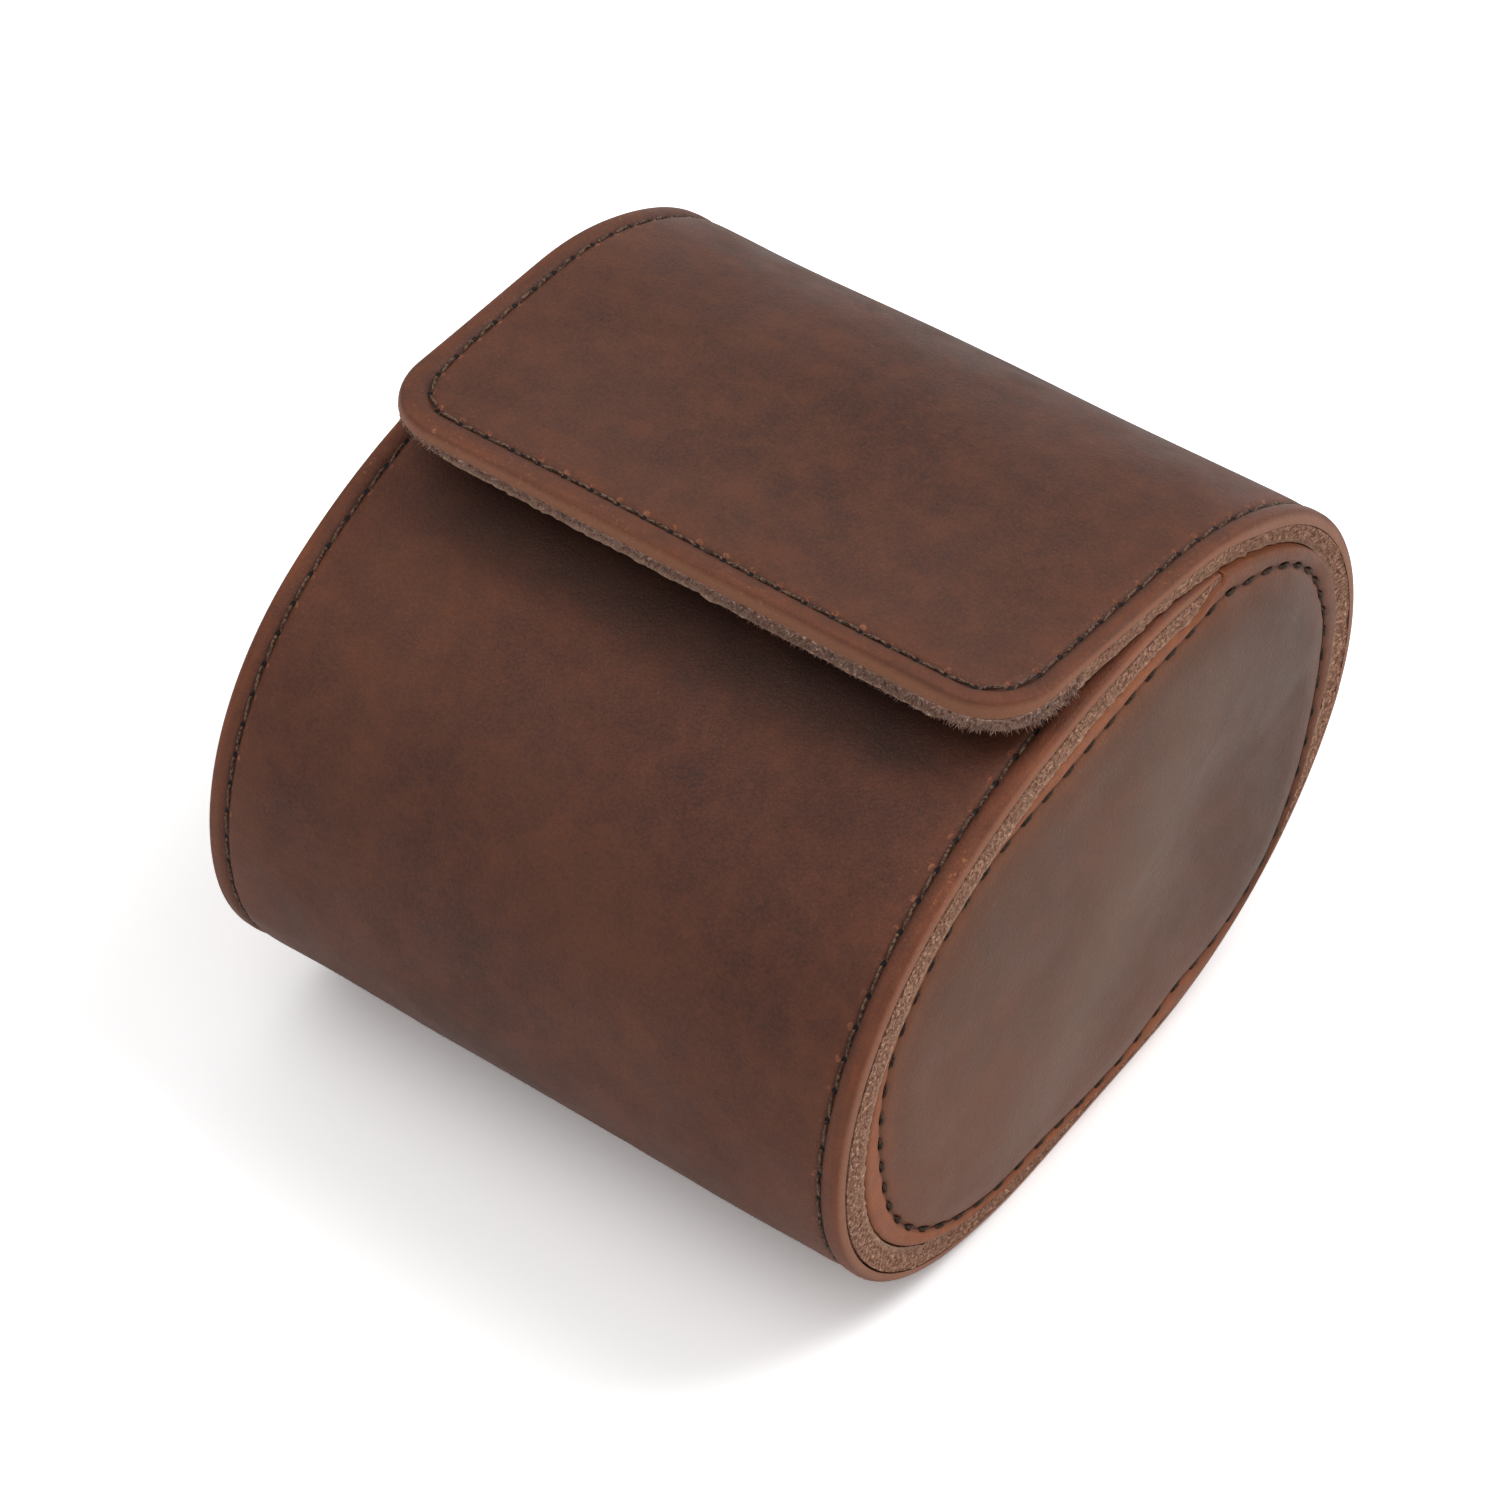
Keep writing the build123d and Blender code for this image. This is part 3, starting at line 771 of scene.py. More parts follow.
@dataclass
class Wrap(Leatherwork):
    """Fixed wrap of the case: grain sheet, lining sheet, cut edges and stitching."""

    board: tuple[float, float] = (2.25, 2.85)
    board_margin: float = 6.0
    flap_start: float = 1.0
    # Distance at which the flap's front edge lies over the wrap, where the painted shade falls
    shaded: float = 40.5
    seed: int = 7

    def __post_init__(self) -> None:
        """Lay the chain from the lip to the place where the bending leather starts."""
        self.chain = self.section.wrap()

    @property
    def reach(self) -> float:
        """Length of the sheet along the section."""
        return self.chain.length - self.flap_start

    def place(self, x: float, distance: float, depth: float) -> Vector:
        """Place a point of the flat sheet in space; the lip is pared and its ends curl up."""
        curl = self.section.lift(distance) * smooth(9, 1, self.half - abs(x))
        point, _ = self.chain.at(distance, depth * self.section.taper(distance) - curl)
        return Vector((x, point.x, point.y)) * MM

    def columns(self) -> list[float]:
        """Places along the case at which the sheet has a line of points."""
        insets = self.edging.insets
        inner = spaced(-self.half + insets[-1], self.half - insets[-1], 3.2)[1:-1]
        return [-self.half + t for t in insets] + inner + [self.half - t for t in reversed(insets)]

    def from_hole(self, distance: float) -> float:
        """Distance along the row from the nearest hole."""
        step = self.reach / self.stitching.count(self.reach)
        return (distance / step - round(distance / step)) * step

    def relief(self, x: float, distance: float) -> float:
        """Depth of the grain side at a place of the flat sheet."""
        edge = self.half - abs(x)
        swell = wave(x * 0.045, distance * 0.045, 3.1) * 0.35 * smooth(2, 14, edge)
        swell += wave(x * 0.16, distance * 0.16, 7.7) * 0.05 * smooth(1, 4, edge)
        swell *= smooth(0, 14, self.reach - distance)
        depth = self.edging.depth(edge, self.from_hole(distance), self.stitching.inset, self.edging.pared)
        return depth + swell

    def grain(self, leather: Material, flesh: Material) -> Object:
        """Make the outer sheet."""
        across = self.columns()
        rows = self.stitching.count(self.reach) * self.stitching.stations
        sheet = grid(len(across) - 1, rows)
        for vert in sheet.verts:
            x, distance = across[int(vert.co.x)], vert.co.y * self.reach / rows
            vert.co = Vector((x, distance, -self.relief(x, distance)))
        thicken(sheet, lambda spot: self.edging.under(self.half - abs(spot.x), self.edging.pared))
        write_marks(sheet, self._marks)
        self.settle(sheet)
        return piece(sheet, "wrap_grain", [leather, flesh], "grain_leather", "wrap_leather")

    def _marks(self, vert: BMVert) -> dict[str, float]:
        """Marks of a point of the flat sheet, with painted shade under the flap's front edge."""
        edge = self.half - abs(vert.co.x)
        marks = self.edging.marks(edge, vert.co.y, self.from_hole(vert.co.y), self.stitching.inset)
        ahead = vert.co.y - self.shaded
        # Painted shade: the wrap is darkened below the overhanging front edge of the flap
        marks["shade"] = 0.6 * smooth(-16.0, -3.0, ahead) * smooth(9.0, -1.0, ahead) * smooth(4.0, 18.0, edge)
        return marks

    def stiffener(self, board: Material) -> Object:
        """Make the board between the two sheets."""
        low, high, columns, rows = self.board_margin, self.reach, 12, round(self.reach / 2)
        sheet = grid(columns, rows)
        for vert in sheet.verts:
            x = (self.half - low) * (vert.co.x / (columns / 2) - 1)
            vert.co = Vector((x, low + (high - low) * vert.co.y / rows, -self.board[0]))
        thicken(sheet, lambda spot: self.board[1])
        self.settle(sheet)
        return piece(sheet, "wrap_stiffener", [board, board], "board", "wrap_board")

    def lining(self, cut: Material, suede: Material) -> Object:
        """Make the inner sheet, whose cut edge shows beside the outer one's."""
        across = [-self.half + t for t in (0, 0.3, 1, 3)]
        across += spaced(-self.half + 8, self.half - 8, 6.0) + [-x for x in reversed(across)]
        rows = round(self.reach / 0.6)
        sheet = grid(len(across) - 1, rows)
        for vert in sheet.verts:
            x = across[int(vert.co.x)]
            vert.co = Vector((x, vert.co.y * self.reach / rows, -self._lining_top(x)))
        thicken(sheet, lambda spot: self.section.wrap_depth, 4)
        ridge = sheet.verts.layers.float["worn"]
        for vert in sheet.verts:
            if abs(abs(vert.co.x) - self.half) < 0.01:
                x, y, z = vert.co
                # Painted highlight: a pale ridge along the cut edge's inner rim
                vert[ridge] = 0.7 * smooth(4.0, 4.8, -z)
                grit = wave(y * 1.3, z * 1.3, x) + 0.7 * wave(y * 0.35, z * 0.8, x)
                vert.co.x += math.copysign(0.26 * grit - 0.05, x)
        self.settle(sheet)
        return piece(sheet, "wrap_suede", [cut, suede], "lining", "wrap_lining")

    def _lining_top(self, x: float) -> float:
        """Depth of the lining's glued side: it closes on the outer sheet past the board."""
        edge = self.half - abs(x)
        glued = self.edging.under(edge, self.edging.pared) + 0.12 + 0.16 * smooth(2.0, 0.0, edge)
        return glued + (self.lining_top - glued) * smooth(3.0, 6.0, edge)

    def fibres(self, fibres: Fibres, count: int, cut: Material) -> Object:
        """Grow loose fibres on the raw edges of both ends, more at the right."""
        chance = random.Random(self.seed)
        roots = []
        for number in range(count):
            side = 1 if number % 3 else -1
            distance, depth = chance.uniform(0, self.reach), chance.uniform(1.7, 4.8)
            out = self.out(distance)
            across = Vector((side, 0, 0))
            lean = out.cross(across) * chance.choice((-1, 1)) + out * chance.uniform(-0.4, 0.4)
            roots.append((self.place(side * (self.half - 0.15), distance, depth), across, lean))
        return piece(fibres.tufts(roots), "wrap_edge_fibres", [cut], "lining")

    def stitches(self, thread: Material) -> list[Object]:
        """Make the rows of stitches near both ends and along the lip."""
        made = []
        count, inset = self.stitching.count(self.reach), self.stitching.inset
        step = self.reach / count
        for end in End:
            x, name = end.value * (self.half - inset), end.name.lower()
            row = self.stitching.row(
                (self.place(x, k * step, 0), self.place(x, (k + 1) * step, 0), self.out((k + 0.5) * step))
                for k in range(1, count - 1)
            )
            made.append(piece(row, f"wrap_stitches_{name}", [thread], "thread", f"wrap_thread_{name}"))
        # The lip's row has no crease, so it lies on the leather
        spots = [self.place(x, inset, -0.4) for x in spaced(6 - self.half, self.half - 6, self.stitching.pitch)]
        row = self.stitching.row((first, last, self.out(inset)) for first, last in zip(spots, spots[1:]))
        made.append(piece(row, "lip_stitches", [thread], "thread", "lip_thread"))
        return made


@dataclass
class Flap(Leatherwork):
    """Hinged flap: grain sheet, lining sheet, cut edges and stitching."""

    corner: float = 9.5
    start: float = -1.0
    bend_end: float = 14.0
    narrow_left: float = 1.6
    narrow_right: float = 0.7
    short_right: float = 0.9
    skew_from: float = 55.0
    thin_corner: float = 1.5
    lining_border: tuple[float, ...] = (0, 0.3, 1.0, 2.0, 3.0, 4.5, 6.0, 7.5, 9.5)
    slant_reach: float = 6.0
    seed: int = 5
    front_stations: int = 114
    corner_stations: int = 15
    side_stations: int = field(init=False)

    def __post_init__(self) -> None:
        """Lay the chain from the hinge to the front edge and space the stitches."""
        self.chain = self.section.flap()
        self.side_stations = self.stitching.count(self.side) * self.stitching.stations

    @property
    def side(self) -> float:
        """Straight length of the flap's sides."""
        return self.chain.length - self.corner - self.start

    @property
    def stations(self) -> int:
        """How many stations run round the flap's three free sides."""
        return 2 * self.side_stations + 2 * self.corner_stations + self.front_stations

    def edge_point(self, station: float, inset: float) -> Vector:
        """Point of the flat sheet at a station round its border and a distance inside it.

        Args:
            station: Station from the hinge at the left, round the front, to the hinge at the right.
            inset: Distance from the border.

        Returns:
            Its place along the case and its distance from the hinge.
        """
        side = -1.0
        if station > self.stations / 2:
            station, side = self.stations - station, 1.0
        if station <= self.side_stations:
            return Vector((side * (self.half - inset), self.start + self.side * station / self.side_stations))
        station -= self.side_stations
        if station <= self.corner_stations:
            angle = math.radians(90 * station / self.corner_stations)
            middle = Vector((side * (self.half - self.corner), self.chain.length - self.corner))
            return middle + Vector((side * math.cos(angle), math.sin(angle))) * (self.corner - inset)
        share = (station - self.corner_stations) / self.front_stations
        return Vector((side * (self.half - self.corner) * (1 - 2 * share), self.chain.length - inset))

    def inset_of(self, x: float, distance: float) -> float:
        """Distance of a point of the flat sheet from its border."""
        turn = self.chain.length - self.corner
        beyond = Vector((abs(x) - (self.half - self.corner), distance - turn))
        if beyond.x > 0 and beyond.y > 0:
            return self.corner - beyond.length
        return min(self.half - abs(x), self.chain.length - distance)

    def place(self, x: float, distance: float, depth: float) -> Vector:
        """Place a point of the flat sheet in space; the hand-cut flap is a little narrow at its front."""
        front = smooth(self.skew_from, self.chain.length, distance)
        right = (1 + x / self.half) / 2
        x += front * (self.narrow_left * (1 - right) - self.narrow_right * right)
        point, _ = self.chain.at(distance - front * self.short_right * right, depth)
        return Vector((x, point.x, point.y)) * MM

    def flat(self, border: tuple[float, ...]) -> tuple[BMesh, BMLayerItem]:
        """Cut the flat sheet: a band along the border and the field inside it.

        Args:
            border: Distances from the edge at which the band has a line of points.

        Returns:
            The sheet, and its layer of stations round the border.
        """
        sheet = grid(self.stations, len(border) - 1)
        stations = sheet.verts.layers.float["station"]
        for vert in sheet.verts:
            vert[stations] = vert.co.x
            point = self.edge_point(vert.co.x, border[int(vert.co.y)])
            vert.co = Vector((point.x, point.y, 0))
        inner = bmesh.new()
        bmesh.ops.create_grid(inner, x_segments=self.front_stations, y_segments=self.side_stations, size=0.5)
        width = self.length - 2 * self.corner
        for vert in inner.verts:
            vert.co = Vector((vert.co.x * width, self.start + (vert.co.y + 0.5) * self.side, 0))
        mesh = bpy.data.meshes.new("flap_field")
        inner.to_mesh(mesh)
        inner.free()
        sheet.from_mesh(mesh)
        bpy.data.meshes.remove(mesh)
        bmesh.ops.remove_doubles(sheet, verts=sheet.verts[:], dist=0.002)
        return sheet, sheet.verts.layers.float["station"]

    def from_hole(self, station: float) -> float:
        """Distance along the row from the nearest hole."""
        phase = (station - self.side_stations) / self.stitching.stations
        return (phase - round(phase)) * self.stitching.pitch

    def row(self, station: float) -> float:
        """Distance of the stitch row from the edge: it wanders in round the left corner."""
        left = smooth(self.side_stations - 12, self.side_stations + 8, station)
        return self.stitching.inset + 0.9 * left * smooth(self.stations * 0.6, self.stations * 0.42, station)

    def edge(self, x: float, distance: float) -> float:
        """Thickness of the outer sheet at its edge: pared at the sides, and along the front more at the left."""
        ahead, full = distance - self.chain.length, self.edging.thickness
        sides = self.edging.pared - 0.7 * smooth(-52, -40, ahead)
        front = self.thin_corner + (full - self.thin_corner) * smooth(-0.6, 0.6, x / self.length)
        return sides + (front - sides) * smooth(-12, -2, ahead)

    def rightward(self, station: float) -> float:
        """Share of the front edge, from 0 at its left corner to 1 at its right one."""
        return min(max((station / self.stations - 0.33) / 0.34, 0.0), 1.0)

    def setback(self, station: float, depth: float) -> float:
        """How far the lining's cut edge slants in: a little at the sides, more along the front's left."""
        end = min(station, self.stations - station)
        front = smooth(self.side_stations - 6, self.side_stations + 8, end)
        slant = 0.7 + front * (1.3 - 1.7 * self.rightward(station))
        return slant * smooth(1.2, 4.9, depth)

    def grain(self, leather: Material, flesh: Material) -> Object:
        """Make the outer sheet."""
        sheet, stations = self.flat(self.edging.insets)

        def marks(vert: BMVert) -> dict[str, float]:
            station, inset = vert[stations], self.inset_of(vert.co.x, vert.co.y)
            return self.edging.marks(inset, station * 0.7, self.from_hole(station), self.row(station))

        for vert in sheet.verts:
            x, distance, station = vert.co.x, vert.co.y, vert[stations]
            inset = self.inset_of(x, distance)
            swell = wave(x * 0.05, distance * 0.05, 1.3) * 0.3 * smooth(2, 14, inset)
            swell *= smooth(0, 14, distance - self.start)
            depth = self.edging.depth(inset, self.from_hole(station), self.row(station), self.edge(x, distance))
            vert.co.z = -depth - swell
        thicken(sheet, lambda spot: self.edging.under(self.inset_of(spot.x, spot.y), self.edge(spot.x, spot.y)))
        write_marks(sheet, marks)
        self.settle(sheet)
        return piece(sheet, "flap_grain", [leather, flesh], "grain_leather", "flap_leather")

    def lining(self, cut: Material, suede: Material, frayed: Material) -> Object:
        """Make the inner sheet, whose cut edge shows below the outer one's and is frayed along the front."""
        sheet, stations = self.flat(self.lining_border)
        for vert in sheet.verts:
            inset = self.inset_of(vert.co.x, vert.co.y)
            glued = self.edging.under(inset, self.edge(vert.co.x, vert.co.y)) + self.glue
            vert.co.z = -(glued + (self.lining_top - glued) * smooth(3.0, 6.0, inset))
        thicken(sheet, lambda spot: self.section.flap_under(spot.y, self.half - abs(spot.x)), 4)
        # The front's cut wall takes the paler frayed finish, painted light against the shade it lies in
        for face in sheet.faces:
            if not face.material_index and face.calc_center_median().y > self.chain.length - self.corner:
                face.material_index = 2
        ridge = sheet.verts.layers.float["worn"]
        for vert in sheet.verts:
            x, y, z = vert.co
            station, inset = vert[stations], self.inset_of(x, y)
            if inset > self.slant_reach - 0.1:
                continue
            moved = inset + self.setback(station, -z) * (1 - inset / self.slant_reach)
            if inset < 0.01:
                # Painted highlight: a pale ridge along the cut edge's lower rim
                vert[ridge] = 0.6 * smooth(3.4, 4.2, -z)
                grit = wave(x * 1.3, y * 1.3, z * 1.3) + 0.7 * wave(x * 0.35, y * 0.35, z * 0.8)
                moved -= 0.26 * grit
            point = self.edge_point(station, moved)
            vert.co.x, vert.co.y = point.x, point.y
        self.settle(sheet)
        return piece(sheet, "flap_suede", [cut, suede, frayed], "lining", "flap_lining")

    def stitches(self, thread: Material) -> Object:
        """Make the stitches round the three free sides."""
        step = self.stitching.stations
        places = []
        # The corners have stations that fit the row's shorter way round them
        for station in range(self.side_stations % step + step, self.stations - step, step):
            first, last = (self.edge_point(s, self.row(s)) for s in (station, station + step))
            out = self.out((first.y + last.y) / 2)
            places.append((self.place(first.x, first.y, 0), self.place(last.x, last.y, 0), out))
        return piece(self.stitching.row(places), "flap_stitches", [thread], "thread", "flap_thread")

    def fibres(self, fibres: Fibres, count: int, cut: Material) -> Object:
        """Grow loose fibres along the front edge and the corners."""
        chance = random.Random(self.seed)
        roots = []
        first = self.side_stations - 6
        for _ in range(count):
            station = chance.uniform(first, self.stations - first)
            inner = self.edge_point(station, 1.0)
            depth = chance.uniform(self.edge(inner.x, inner.y) + 0.4, 4.15)
            point = self.edge_point(station, self.setback(station, depth) + 0.15)
            foot, down = self.place(point.x, point.y, depth), -self.out(point.y)
            way = (self.place(point.x, point.y, 0) - self.place(inner.x, inner.y, 0)).normalized()
            side = way.cross(down).normalized()
            clump = wave(station * 0.9, depth * 0.8, 2.0) * 2.0 - 0.25
            grown = 0.5 + 0.25 * self.rightward(station)
            roots.append((foot, (way + down * 0.75 + side * clump).normalized() * grown, side * grown))
        return piece(fibres.tufts(roots), "flap_edge_fibres", [cut], "lining")

    def hinge(self) -> tuple[Vector, Vector]:
        """Where the leather starts to bend and where it has turned with the flap."""
        return self.place(0, self.start, 0), self.place(0, self.bend_end, 0)


@dataclass
class EndPanel:
    """Stretched end panel with its turned edge, crease, pillow and stitching."""

    section: Section
    stitching: Stitching
    end: End
    face: float = 48.4
    turned_edge: float = 9.0
    wall: float = 1.5
    fold: float = 0.8
    rows_of_fold: int = 6
    # Distance of the stitch row from the edge, by the angle round the panel's middle
    insets: Table = (
        (0, 2.5), (7, 2.5), (14, 2.7), (20, 2.3), (30, 2.1), (38, 2.4), (44, 3.0), (48, 3.4), (52, 2.9), (56, 2.2),
        (59, 1.7), (63, 2.1), (68, 2.4), (73, 2.2), (80, 2.7), (90, 2.9), (107, 2.8), (118, 1.9), (131, 1.1),
        (145, 1.6), (157, 2.0), (163, 1.6), (175, 2.5), (188, 3.5), (196, 3.1), (211, 2.2), (224, 1.4), (231, 1.1),
        (243, 2.0), (256, 1.2), (271, 1.1), (277, 1.6), (284, 2.5), (292, 3.7), (301, 2.7), (313, 1.7), (327, 1.2),
        (340, 1.4), (349, 2.2), (360, 2.5),
    )
    # How far the panel stands proud of its mean place, by the same angle
    leans: Table = (
        (0, -1.0), (30, 0.0), (60, -0.5), (90, -0.8), (130, -1.2), (160, -1.2), (190, -0.6), (215, -0.2), (240, 0.3),
        (270, 0.9), (300, 1.0), (325, 0.7), (345, -0.4), (360, -1.0),
    )
    centre: tuple[float, float] = (-1.0, 37.0)

    def __post_init__(self) -> None:
        """Lay the stitch row inside the outline and space the stitches along it."""
        outline = self.section.panel_outline()
        total = len(outline)
        row = []
        for number, point in enumerate(outline):
            along = outline[(number + 8) % total] - outline[number - 8]
            inset = self._read(self.insets, point.x, point.y)
            row.append(point + Vector((-along.y, along.x)).normalized() * inset)
        for _ in range(3):
            row = [(row[k - 3] + row[k] + row[(k + 3) % total]) / 3 for k in range(total)]
        passed = [0.0]
        for number in range(total):
            passed.append(passed[-1] + (row[(number + 1) % total] - row[number]).length)
        self.stations = self.stitching.count(passed[-1]) * self.stitching.stations
        self.ring: list[tuple[Vector, Vector]] = []
        number = 0
        for station in range(self.stations):
            wanted = passed[-1] * station / self.stations
            while passed[number + 1] < wanted:
                number += 1
            share = (wanted - passed[number]) / (passed[number + 1] - passed[number])
            after = (number + 1) % total
            self.ring.append((row[number].lerp(row[after], share), outline[number].lerp(outline[after], share)))
        # Lines inside the crease start from a smoothed row, so that they don't cross where it turns sharply
        spread = range(-16, 17, 2)
        places = [crease for crease, _ in self.ring]
        self.soft = [
            sum((places[(s + k) % self.stations] for k in spread), Vector((0, 0))) / len(spread)
            for s in range(self.stations)
        ]

    @property
    def name(self) -> str:
        """Name of the end."""
        return self.end.name.lower()

    def _read(self, table: Table, y: float, z: float) -> float:
        """Read a table by the angle at which a point lies from the panel's middle."""
        angle = math.degrees(math.atan2(z - self.centre[1], y - self.centre[0])) % 360
        for (low, first), (high, last) in zip(table, table[1:]):
            if low <= angle <= high:
                return first + (last - first) * (angle - low) / (high - low)
        return table[0][1]

    def lean(self, point: Vector) -> float:
        """How far the panel stands proud there: it sits a little askew, out below and in at the top."""
        reach = math.hypot(point.x - self.centre[0], point.y - self.centre[1])
        return self._read(self.leans, point.x, point.y) * min(1.0, reach / 35)

    def height(self, inside: float, y: float, z: float) -> float:
        """Height of the face over its ring, at a distance inside the crease."""
        rise = 1.0 * smooth(0.1, 4.5, inside) + 0.6 * smooth(3.0, 14.0, inside) - 0.45 * bump(inside, 0.0, 0.6)
        swell = wave(y * 0.035, z * 0.05, 2.0 + self.end.value) * 0.6
        swell += wave(y * 0.11, z * 0.11, 5.0) * 0.1
        return rise + (swell + 0.45 * self.fold_line(y, z)) * smooth(1.0, 9.0, inside)

    @staticmethod
    def shade(y: float, z: float) -> float:
        """How much painted shade darkens the leather there: more behind and a little more low down."""
        return 0.26 * smooth(0.0, 38.0, y) + 0.08 * smooth(32.0, 15.0, z)

    @staticmethod
    def fold_line(y: float, z: float) -> float:
        """Closeness to the soft fold that runs slantwise over the stretched leather."""
        return bump((y - 3.2) * 0.738 - (z - 40.1) * 0.674, 0.0, 7.5)

    def at(self, x: float, point: Vector) -> Vector:
        """Place a point in space, at a distance from the case's middle."""
        return Vector((self.end.value * x, point.x, point.y)) * MM

    def build(self, leather: Material) -> Object:
        """Make the panel as one closed skin."""
        profile = [(Part.BACK, k) for k in (0.0, 0.3, 0.6, 0.85, 1.0)]
        profile += [(Part.INNER, 1.0), (Part.OUTER, 0.0), (Part.OUTER, 0.5)]
        profile += [(Part.FOLD, k / self.rows_of_fold) for k in range(self.rows_of_fold + 1)]
        profile += [(Part.BORDER, k) for k in (0.3, 0.5, 0.66, 0.78, 0.86, 0.92, 0.96)]
        profile += [(Part.FACE, k) for k in (0, 0.12, 0.25, 0.42, 0.65, 1.0, 1.5, 2.2, 3.2, 4.6, 6.5, 9.0)]
        profile += [(Part.MIDDLE, k) for k in (0.88, 0.76, 0.64, 0.52, 0.4, 0.3, 0.2, 0.1, 0.0)]
        sheet = grid(self.stations, len(profile) - 1)
        for vert in sheet.verts:
            part, share = profile[int(vert.co.y)]
            point, x, marks = self._spot(int(vert.co.x) % self.stations, part, share)
            vert.co = self.at(x, point)
            for name, value in marks.items():
                vert[sheet.verts.layers.float[name]] = value
        close(sheet)
        return piece(sheet, f"end_panel_skin_{self.name}", [leather], "panel_leather", f"end_panel_{self.name}")

    def _spot(self, station: int, part: Part, share: float) -> tuple[Vector, float, dict[str, float]]:
        """Place of a point in the panel's profile.

        Args:
            station: Station round the ring.
            part: Part of the profile.
            share: Place in that part.

        Returns:
            The point in Y and Z, its X, and its marks.
        """
        crease, outside = self.ring[station]
        way, reach = (outside - crease).normalized(), (outside - crease).length
        middle = Vector(self.centre)
        from_slot = (abs((station / self.stitching.stations) % 1.0 - 0.5)) * self.stitching.pitch
        pit = bump(from_slot, 0.0, 0.9)
        fold = self.fold * min(1.0, reach / 2.2)
        # Painted shade on the turned edge, with more of it behind
        dark = self.shade(outside.x, outside.y) + 0.2 * smooth(16.0, 28.0, outside.x)
        marks = {"worn": 1.0, "along": from_slot, "aside": -5.0, "shade": dark}
        if part is Part.BACK:
            rim = outside - way * self.wall
            point = middle + (rim - middle) * share
            return point, self.face + 0.9 * self.lean(point) - self.wall, marks
        if part is Part.INNER:
            return outside - way * self.wall, self.face - self.turned_edge, marks
        if part is Part.OUTER:
            top = self.face + self.lean(outside) - self.fold
            return outside, self.face - self.turned_edge + share * (top - self.face + self.turned_edge), marks
        if part is Part.FOLD:
            angle = math.radians(90 * share)
            point = outside - way * fold * (1 - math.cos(angle))
            return point, self.face + self.lean(point) - self.fold * (1 - math.sin(angle)), marks
        if part is Part.BORDER:
            point = outside - way * (fold + (reach - fold) * share)
            near = (point - crease).length
            dip = 0.3 * bump(near, 0.0, 0.6) + 0.35 * pit * bump(near, 0.0, 0.4)
            return point, self.face + self.lean(point) - dip, marks | {"aside": -near}
        soft = self.soft[station]
        along = self.soft[(station + 8) % self.stations] - self.soft[station - 8]
        way = Vector((along.y, -along.x)).normalized()
        point, inside = crease.lerp(soft, smooth(0.0, 6.0, share)) - way * share, share
        if part is Part.MIDDLE:
            point = middle + (soft - way * 9.0 - middle) * share
            inside = 9.0 + (1 - share) * 18
        x = self.face + self.lean(point) + self.height(inside, point.x, point.y)
        x -= 0.35 * pit * bump(inside, 0, 0.35)
        # Painted sheen: a paler grey band along the soft fold
        bloom = 0.4 * self.fold_line(point.x, point.y) * smooth(1.0, 9.0, inside)
        marks = {"worn": 0.6 * math.exp(-inside / 1.2), "shade": self.shade(point.x, point.y), "bloom": bloom}
        return point, x, marks | {"along": from_slot, "aside": inside}

    def stitches(self, thread: Material) -> Object:
        """Make the ring of short stitches in the crease."""
        creases = [crease for crease, _ in self.ring[:: self.stitching.stations]]
        spots = [self.at(self.face + self.lean(point) - 0.2, point) for point in creases]
        out = Vector((self.end.value, 0, 0))
        short = Stitching(self.stitching.pitch, self.stitching.inset, thread=0.27, sink=0.05, cover=0.3)
        row = short.row((a, b, out) for a, b in zip(spots, spots[1:] + spots[:1]))
        return piece(row, f"end_stitches_{self.name}", [thread], "thread", f"end_thread_{self.name}")

    def lining(self, suede: Material) -> Object:
        """Make the suede on the panel's inner side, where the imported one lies."""
        low, high = (corner[0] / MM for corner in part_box("end_lining_right"))
        profile = [(k, low) for k in (0.0, 0.35, 0.7, 0.97)] + [(1.0, low + 0.5), (1.0, high)]
        profile += [(k, high) for k in (0.7, 0.35, 0.0)]
        sheet = grid(self.stations, len(profile) - 1)
        middle = Vector(self.centre)
        for vert in sheet.verts:
            share, x = profile[int(vert.co.y)]
            crease, outside = self.ring[int(vert.co.x) % self.stations]
            rim = outside - (outside - crease).normalized() * (self.wall + 0.3)
            vert.co = self.at(x, middle + (rim - middle) * share)
        close(sheet)
        return piece(sheet, f"end_suede_{self.name}", [suede], "lining", f"end_lining_{self.name}")


